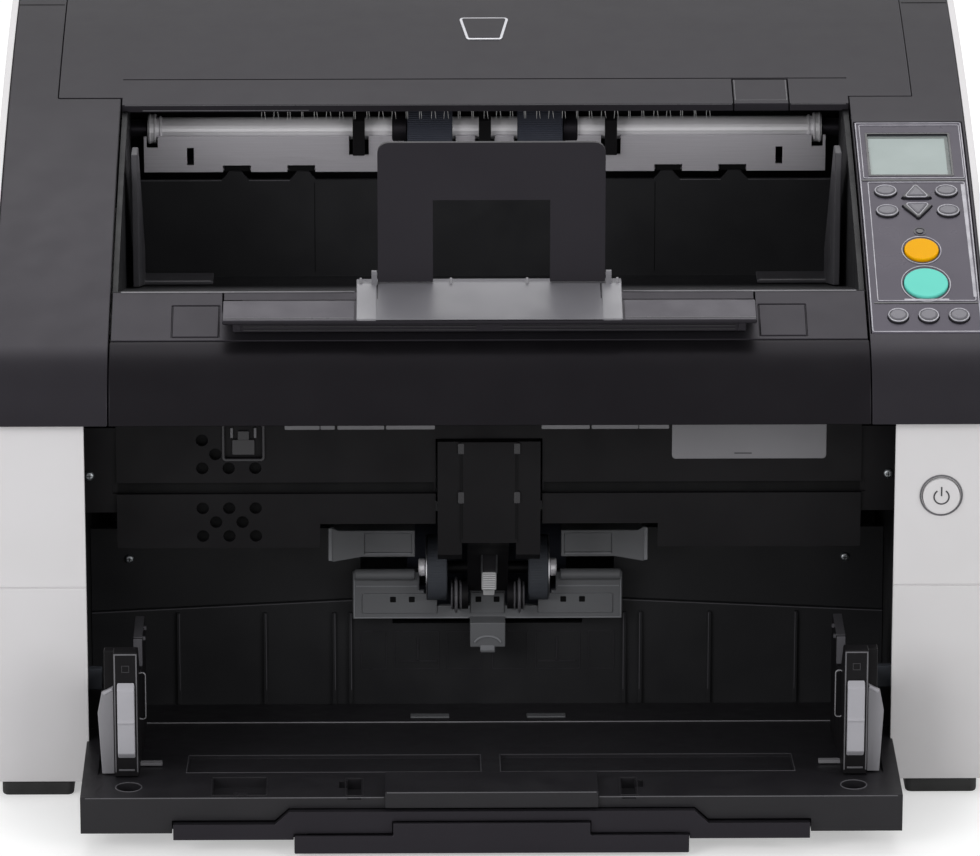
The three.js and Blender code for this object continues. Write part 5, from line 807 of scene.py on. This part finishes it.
# Guides behind the pick arm: wing edges, pads, holes, edges and rods of the sheet guide, lip of its nose
# Pale strips on the wing, sheet guide and nose are painted highlights; the dark holes painted shade

sheet_guide_front = -36.5
nose_front = -45.5
piece("wing_highlights", "frame", guide_highlight, strips(
    both_sides([(36.2, 90.2), (57.6, 90.2)]), strip(1.2, 1.1), facing_front(-56.8)) + strips(
    both_sides([(73.9, 87.4), (73.9, 103.3)]), strip(1.7, 0.8), facing_front(-58)))
piece("sheet_guide_pads", "frame", guide_grey, pads(
    both_sides(rectangle(23.8, 53.2, 59.2, 63.1, 0.9)) + [rectangle(-8.0, 53.3, 8.0, 63.6, 0.6)],
    pad(0.7, 0.4), facing_front(sheet_guide_front)))
piece("sheet_guide_hole_shades", "frame", seam_and_shade_black, pads(
    all_sides([rectangle(x - 1.4, 58.9, x + 1.4, 61.7, 0.4) for x in (35.8, 44.7, 4.3)]),
    pad(0.78, 0.05), facing_front(sheet_guide_front)))
piece("sheet_guide_highlights", "frame", guide_highlight, strips(
    all_sides([[(9, 51.0), (62.9, 51.0), (62.9, 72.9)], [(33.2, 66.8), (62.2, 66.8)]]),
    strip(0.6, 0.4), facing_front(sheet_guide_front)))
rod_loop = tyre(34.2, 62.8, 1.2, 2.7)
rod_axis = (-38, 73.1)
piece("sheet_guide_rods", "frame", guide_grey,
      [turned(loop, *rod_axis, 40) for loop in both_sides(rod_loop)])
piece("nose_lip", "frame", guide_highlight, [
    carried(ellipse(0, 40.2, 6.6, 4.6, 20, 160, 16), strip(0.9, 0.7), facing_front(nose_front)),
    raised(rectangle(-3.5, 37.6, 3.2, 40.2, 0.4), pad(0.5, 0.2), facing_front(nose_front)),
])


# Back wall: painted highlights on its top edge and rib edges, shallow windows with bars below the guide

wall_front = -28
rib_front = -29.6
piece("wall_crest_highlight", "frame", fin_and_highlight_grey, strips(
    both_sides([(64.2, 56.6), (187.4, 50.7)]), strip(0.5, 0.15), facing_front(wall_front)))
piece("wall_rib_highlights", "frame", fin_and_highlight_grey, strips(
    all_sides([[(x - 0.4, 12), (x - 0.4, 50.6)] for x in (65, 72.7, 105.4, 146.5)]),
    strip(0.4, 0.1), facing_front(rib_front)))
piece("wall_windows", "frame", edge_black, strips(
    all_sides([rectangle(left, 22, right, 41, 0.6) for left, right in ((2.5, 19), (23.0, 44), (48, 60))]),
    strip(0.6, 0.25), facing_front(wall_front), closed=True))
piece("wall_window_bars", "frame", edge_black, strips(
    all_sides([[(24, 26), (42, 26)], [(33, 26), (33, 38)]]), strip(1.0, 0.4), facing_front(wall_front)))


# Hopper table: rear edge line, pale tabs, rims of its holes and recesses
# Its rear and front edge lines, channel edges and hole rims are painted highlights

piece("table_rear_highlight", "hopper", edge_highlight_and_trim_pale, [
    carried([(-161, -71.6), (161, -71.6)], strip(0.7, 0.35), on_table),
])
piece("table_tabs", "hopper", guide_grey, pads(
    both_sides(rectangle(18.3, -62, 36.6, -55, 0.5)), pad(0.6, 0.3), on_table))
recesses = both_sides(rectangle(58.0, -207.0, 66.0, -185.2, 0.5))
recesses.append(rectangle(-126.6, -206.0, -101.4, -183.6, 0.5))
piece("table_rims", "hopper", edge_black, strips(recesses, strip(0.5, 0.2), on_table, closed=True))
piece("table_channel_highlights", "hopper", fin_and_highlight_grey, strips(
    [dense_ring(path, 8) for path in both_sides(rectangle(4.4, -175.4, 138.6, -140.4))],
    strip(0.5, 0.2), on_table, closed=True))
piece("recess_tab", "hopper", edge_black, [
    raised(rectangle(-117, -199, -110, -191, 0.5), pad(3.2, 0.4, -1), facing_up(19.5)),
])
piece("table_front_highlights", "hopper", edge_highlight_and_trim_grey, strips(
    both_sides([(48.6, 26.6), (183.2, 26.6)]), strip(0.4, 0.12), facing_front(-208.3)) + [
    carried([(-47.2, 29.6), (47.2, 29.6)], strip(0.4, 0.12), facing_front(-210.2))])
piece("table_hole_rim_highlights", "hopper", edge_highlight_and_trim_grey, strips(
    both_sides(ellipse(164, -195.5, 5.9, 5.9, steps=32)), strip(0.5, 0.25), on_table, closed=True))


# Hopper guides: painted highlights on columns, corner mark, fins, outer wings and blocks, wire loops, foot
# bars
# The fins' grey faces are painted light, and the wings' pale tops painted highlights

column_front = facing_front(-184)
wing_front = facing_front(-178)
fin_top = facing_up(72)
column_highlight_path = [(160.3, 30), (160.3, 86.6), (170.1, 86.6), (170.1, 30)]
guide_mark = rectangle(163.6, 78.2, 166.8, 81.2)
guide_wing = [(171.0, 27.4), (176.6, 27.4), (178.2, 56.8), (176.3, 66.6), (171.0, 69.6)]
fin_hooks = [rectangle(158.6, -106.8, 160.1, -105.6), rectangle(158.6, -120.8, 160.1, -119.6)]

for side_name in ("left", "right"):
    body = f"{side_name}_hopper_guide"
    piece(f"{side_name}_guide_column_highlights", body, edge_highlight_and_trim_grey, [
        carried(sided(column_highlight_path, side_name), strip(0.6, 0.25), column_front),
        carried(sided([(161.6, 31.0), (168.8, 31.0)], side_name), strip(0.8, 0.4), column_front),
    ])
    piece(f"{side_name}_guide_mark", body, edge_black, [
        carried(sided(guide_mark, side_name), strip(0.4, 0.3), column_front, closed=True),
    ])
    painted_light_on_fin = sided(rectangle(160.0, -121.4, 164.0, -92.4, 0.3), side_name)
    painted_light_on_fin_end = sided(rectangle(160.0, 58.4, 164.0, 71.8, 0.3), side_name)
    piece(f"{side_name}_guide_fin_painted_light_and_ticks", body, fin_and_highlight_grey, [
        raised(painted_light_on_fin, pad(0.3, 0.1, 0.1), fin_top),
        raised(painted_light_on_fin_end, pad(0.3, 0.1, 0.1), facing_front(-122)),
    ] + pads([sided(hook, side_name) for hook in fin_hooks], [(0, -1.4), (0, 0.2)], fin_top))
    piece(f"{side_name}_guide_wing", body, wing_grey, [
        raised(sided(guide_wing, side_name), pad(1.2, 0.3, 0.4), wing_front),
    ])
    piece(f"{side_name}_guide_wing_top_highlight", body, grip_and_highlight_grey, [
        carried(sided([(171.4, 68.2), (175.6, 65.9)], side_name), strip(1.6, 1.5, 0.2), wing_front),
    ])
    piece(f"{side_name}_guide_block", body, rubber_slate, [
        raised(sided(rectangle(178.6, 47.2, 187.4, 57.6, 0.6), side_name), pad(3, 0.5), facing_front(-120)),
    ])
    wire = sided(rectangle(157.0, 48.6, 160.4, 71.0, 1.4), side_name)
    piece(f"{side_name}_guide_loop", body, edge_highlight_and_trim_pale, [
        carried(wire, strip(0.5, 0.5), facing_front(-165), closed=True),
        raised(sided(rectangle(150.0, 24.9, 160.2, 26.3), side_name), pad(3.0, 0.2), facing_front(-160)),
    ])


# Rear: a dark sheet behind the vents as painted shade, inlet pins

piece("rear_vent_shade_sheet", "frame", coated_steel, [
    raised(rectangle(-130, 87, -50, 183), [(0, -0.5), (0, 0)], facing_back(211.9)),
])
pin_places = [(69, 31.5), (81, 31.5), (75, 36.5)]
piece("inlet_pins", "frame", painted_sheen_chrome, pads(
    [rectangle(x - 0.9, z - 2.4, x + 0.9, z + 2.4, 0.4) for x, z in pin_places],
    pad(4.2, 0.5, 0.5), facing_back(209)))


# Rounded copies of solids whose real edges are soft

weld_distance = 0.00001
flat_angle = math.radians(0.6)
edge_angle = math.radians(32)
edge_segments = 3


def soften(node, width):
    """A copy of a solid with its doubles merged, its flat triangles joined, and its sharp edges rounded."""
    shape = bmesh.new()
    shape.from_mesh(frame["nodes"][node].data)
    bmesh.ops.remove_doubles(shape, verts=shape.verts, dist=weld_distance)
    bmesh.ops.dissolve_limit(shape, angle_limit=flat_angle, verts=shape.verts, edges=shape.edges)
    shape.verts.ensure_lookup_table()
    points = [vertex.co[:] for vertex in shape.verts]
    faces = [[vertex.index for vertex in face.verts] for face in shape.faces]
    shape.free()
    mesh = bpy.data.meshes.new(f"{node}_soft")
    mesh.from_pydata(points, [], faces)
    mesh.materials.append(frame["nodes"][node].data.materials[0])
    mesh.shade_smooth()
    made = bpy.data.objects.new(f"{node}_soft", mesh)
    bpy.context.scene.collection.objects.link(made)
    bevel = made.modifiers.new("edges", "BEVEL")
    bevel.width = width * MM
    bevel.segments = edge_segments
    bevel.limit_method = "ANGLE"
    bevel.angle_limit = edge_angle
    bevel.miter_outer = "MITER_ARC"
    made.modifiers.new("shading", "WEIGHTED_NORMAL")
    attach(made, BODY_OF[node])
    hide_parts(node)


# Radius of the edges in millimetres, and the solids that have it
SOFT_EDGES = {
    0.8: ["left_top_cover", "right_top_cover", "front_beam", "left_side_shell", "right_side_shell"],
    0.6: ["adf_cover", "stacker_front_cover", "stacker_extension", "stopper_slide", "hopper_table",
          "hopper_extension", "hopper_extension_end"],
    0.5: ["stopper_flap", "adf_latch", "left_hopper_guide", "right_hopper_guide", "left_stacker_guide",
          "right_stacker_guide", "pick_guide", "sheet_guide", "left_guide_grip", "right_guide_grip"],
    0.4: ["stacker_tray", "hopper_back_wall", "lower_scan_unit", "power_button", "pick_arm", "inner_panel"],
    0.7: KEYS + ["stop_button", "scan_button"],
    1.2: FEET,
    0.3: ["exit_plate", "panel_body", "lcd_display"],
}

for width, names in SOFT_EDGES.items():
    for name in names:
        soften(name, width)


# Stage: camera, lamps, world and floor

def aim_camera():
    """A camera with the photograph's place, tilt and focal length."""
    forward = Vector((
        -math.sin(camera_yaw) * math.cos(camera_pitch),
        math.cos(camera_yaw) * math.cos(camera_pitch),
        -math.sin(camera_pitch),
    ))
    level = Vector((math.cos(camera_yaw), math.sin(camera_yaw), 0))
    upright = level.cross(forward)
    right = level * math.cos(camera_roll) + upright * math.sin(camera_roll)
    up = upright * math.cos(camera_roll) - level * math.sin(camera_roll)
    data = bpy.data.cameras.new("camera")
    data.sensor_width = sensor_width
    data.lens = focal_pixels * sensor_width / picture_width
    camera = bpy.data.objects.new("camera", data)
    bpy.context.scene.collection.objects.link(camera)
    turn = Matrix((right, up, -forward)).transposed().to_4x4()
    camera.matrix_world = Matrix.Translation(camera_place) @ turn
    bpy.context.scene.camera = camera


def lamp(name, place, target, size, power):
    """A soft rectangular lamp that faces a target; its size is in metres and its power in watts."""
    data = bpy.data.lights.new(name, "AREA")
    data.shape = "RECTANGLE"
    data.size, data.size_y = size
    data.energy = power
    light = bpy.data.objects.new(name, data)
    bpy.context.scene.collection.objects.link(light)
    light.location = place
    light.rotation_euler = (Vector(target) - Vector(place)).to_track_quat("-Z", "Y").to_euler()


aim_camera()
machine_middle = (0, 0, 0.15)
lamp("overhead", (0, 0.75, 2.2), machine_middle, (2.4, 1.5), 28)
lamp("front_left", (-2.2, -2.4, 1.5), machine_middle, (1.6, 1.6), 46)
lamp("front_right", (2.4, -2.2, 1.3), machine_middle, (1.4, 1.4), 30)


def seen_share(tree):
    """1 for camera, glossy and transmission rays, which show the pale background, and 0 for the rest."""
    rays = add_node(tree, "ShaderNodeLightPath").outputs
    pair = {0: rays["Is Camera Ray"], 1: rays["Is Glossy Ray"]}
    either = add_node(tree, "ShaderNodeMath", pair, operation="MAXIMUM").outputs[0]
    rest = {0: either, 1: rays["Is Transmission Ray"]}
    return add_node(tree, "ShaderNodeMath", rest, operation="MAXIMUM").outputs[0]


white = (1, 1, 1, 1)
ambient_strength = 0.45
backdrop_strength = 1.0
floor_reach = 6
floor_paint = (0.7, 0.7, 0.7, 1)
floor_glow = 0.4

world = bpy.data.worlds.new("studio")
bpy.context.scene.world = world
world.use_nodes = True
tree = world.node_tree
tree.nodes.clear()
ambient = add_node(tree, "ShaderNodeBackground", {"Color": white, "Strength": ambient_strength})
backdrop = add_node(tree, "ShaderNodeBackground", {"Color": white, "Strength": backdrop_strength})
choice = add_node(tree, "ShaderNodeMixShader", {
    0: seen_share(tree), 1: ambient.outputs[0], 2: backdrop.outputs[0]})
add_node(tree, "ShaderNodeOutputWorld", {"Surface": choice.outputs[0]})

mesh = bpy.data.meshes.new("floor")
floor_corners = [(-floor_reach, -floor_reach, 0), (floor_reach, -floor_reach, 0),
                 (floor_reach, floor_reach, 0), (-floor_reach, floor_reach, 0)]
mesh.from_pydata(floor_corners, [], [(0, 1, 2, 3)])
floor = bpy.data.objects.new("floor", mesh)
bpy.context.scene.collection.objects.link(floor)
material, tree = empty_material("studio_floor")
mesh.materials.append(material)
paint = add_node(tree, "ShaderNodeBsdfPrincipled", {"Base Color": floor_paint, "Roughness": 0.9})
glow = add_node(tree, "ShaderNodeEmission", {"Color": white, "Strength": floor_glow})
lit = add_node(tree, "ShaderNodeAddShader", {0: paint.outputs[0], 1: glow.outputs[0]})
choice = add_node(tree, "ShaderNodeMixShader", {0: seen_share(tree), 1: paint.outputs[0], 2: lit.outputs[0]})
add_node(tree, "ShaderNodeOutputMaterial", {"Surface": choice.outputs[0]})

bpy.context.scene.view_settings.view_transform = "Standard"
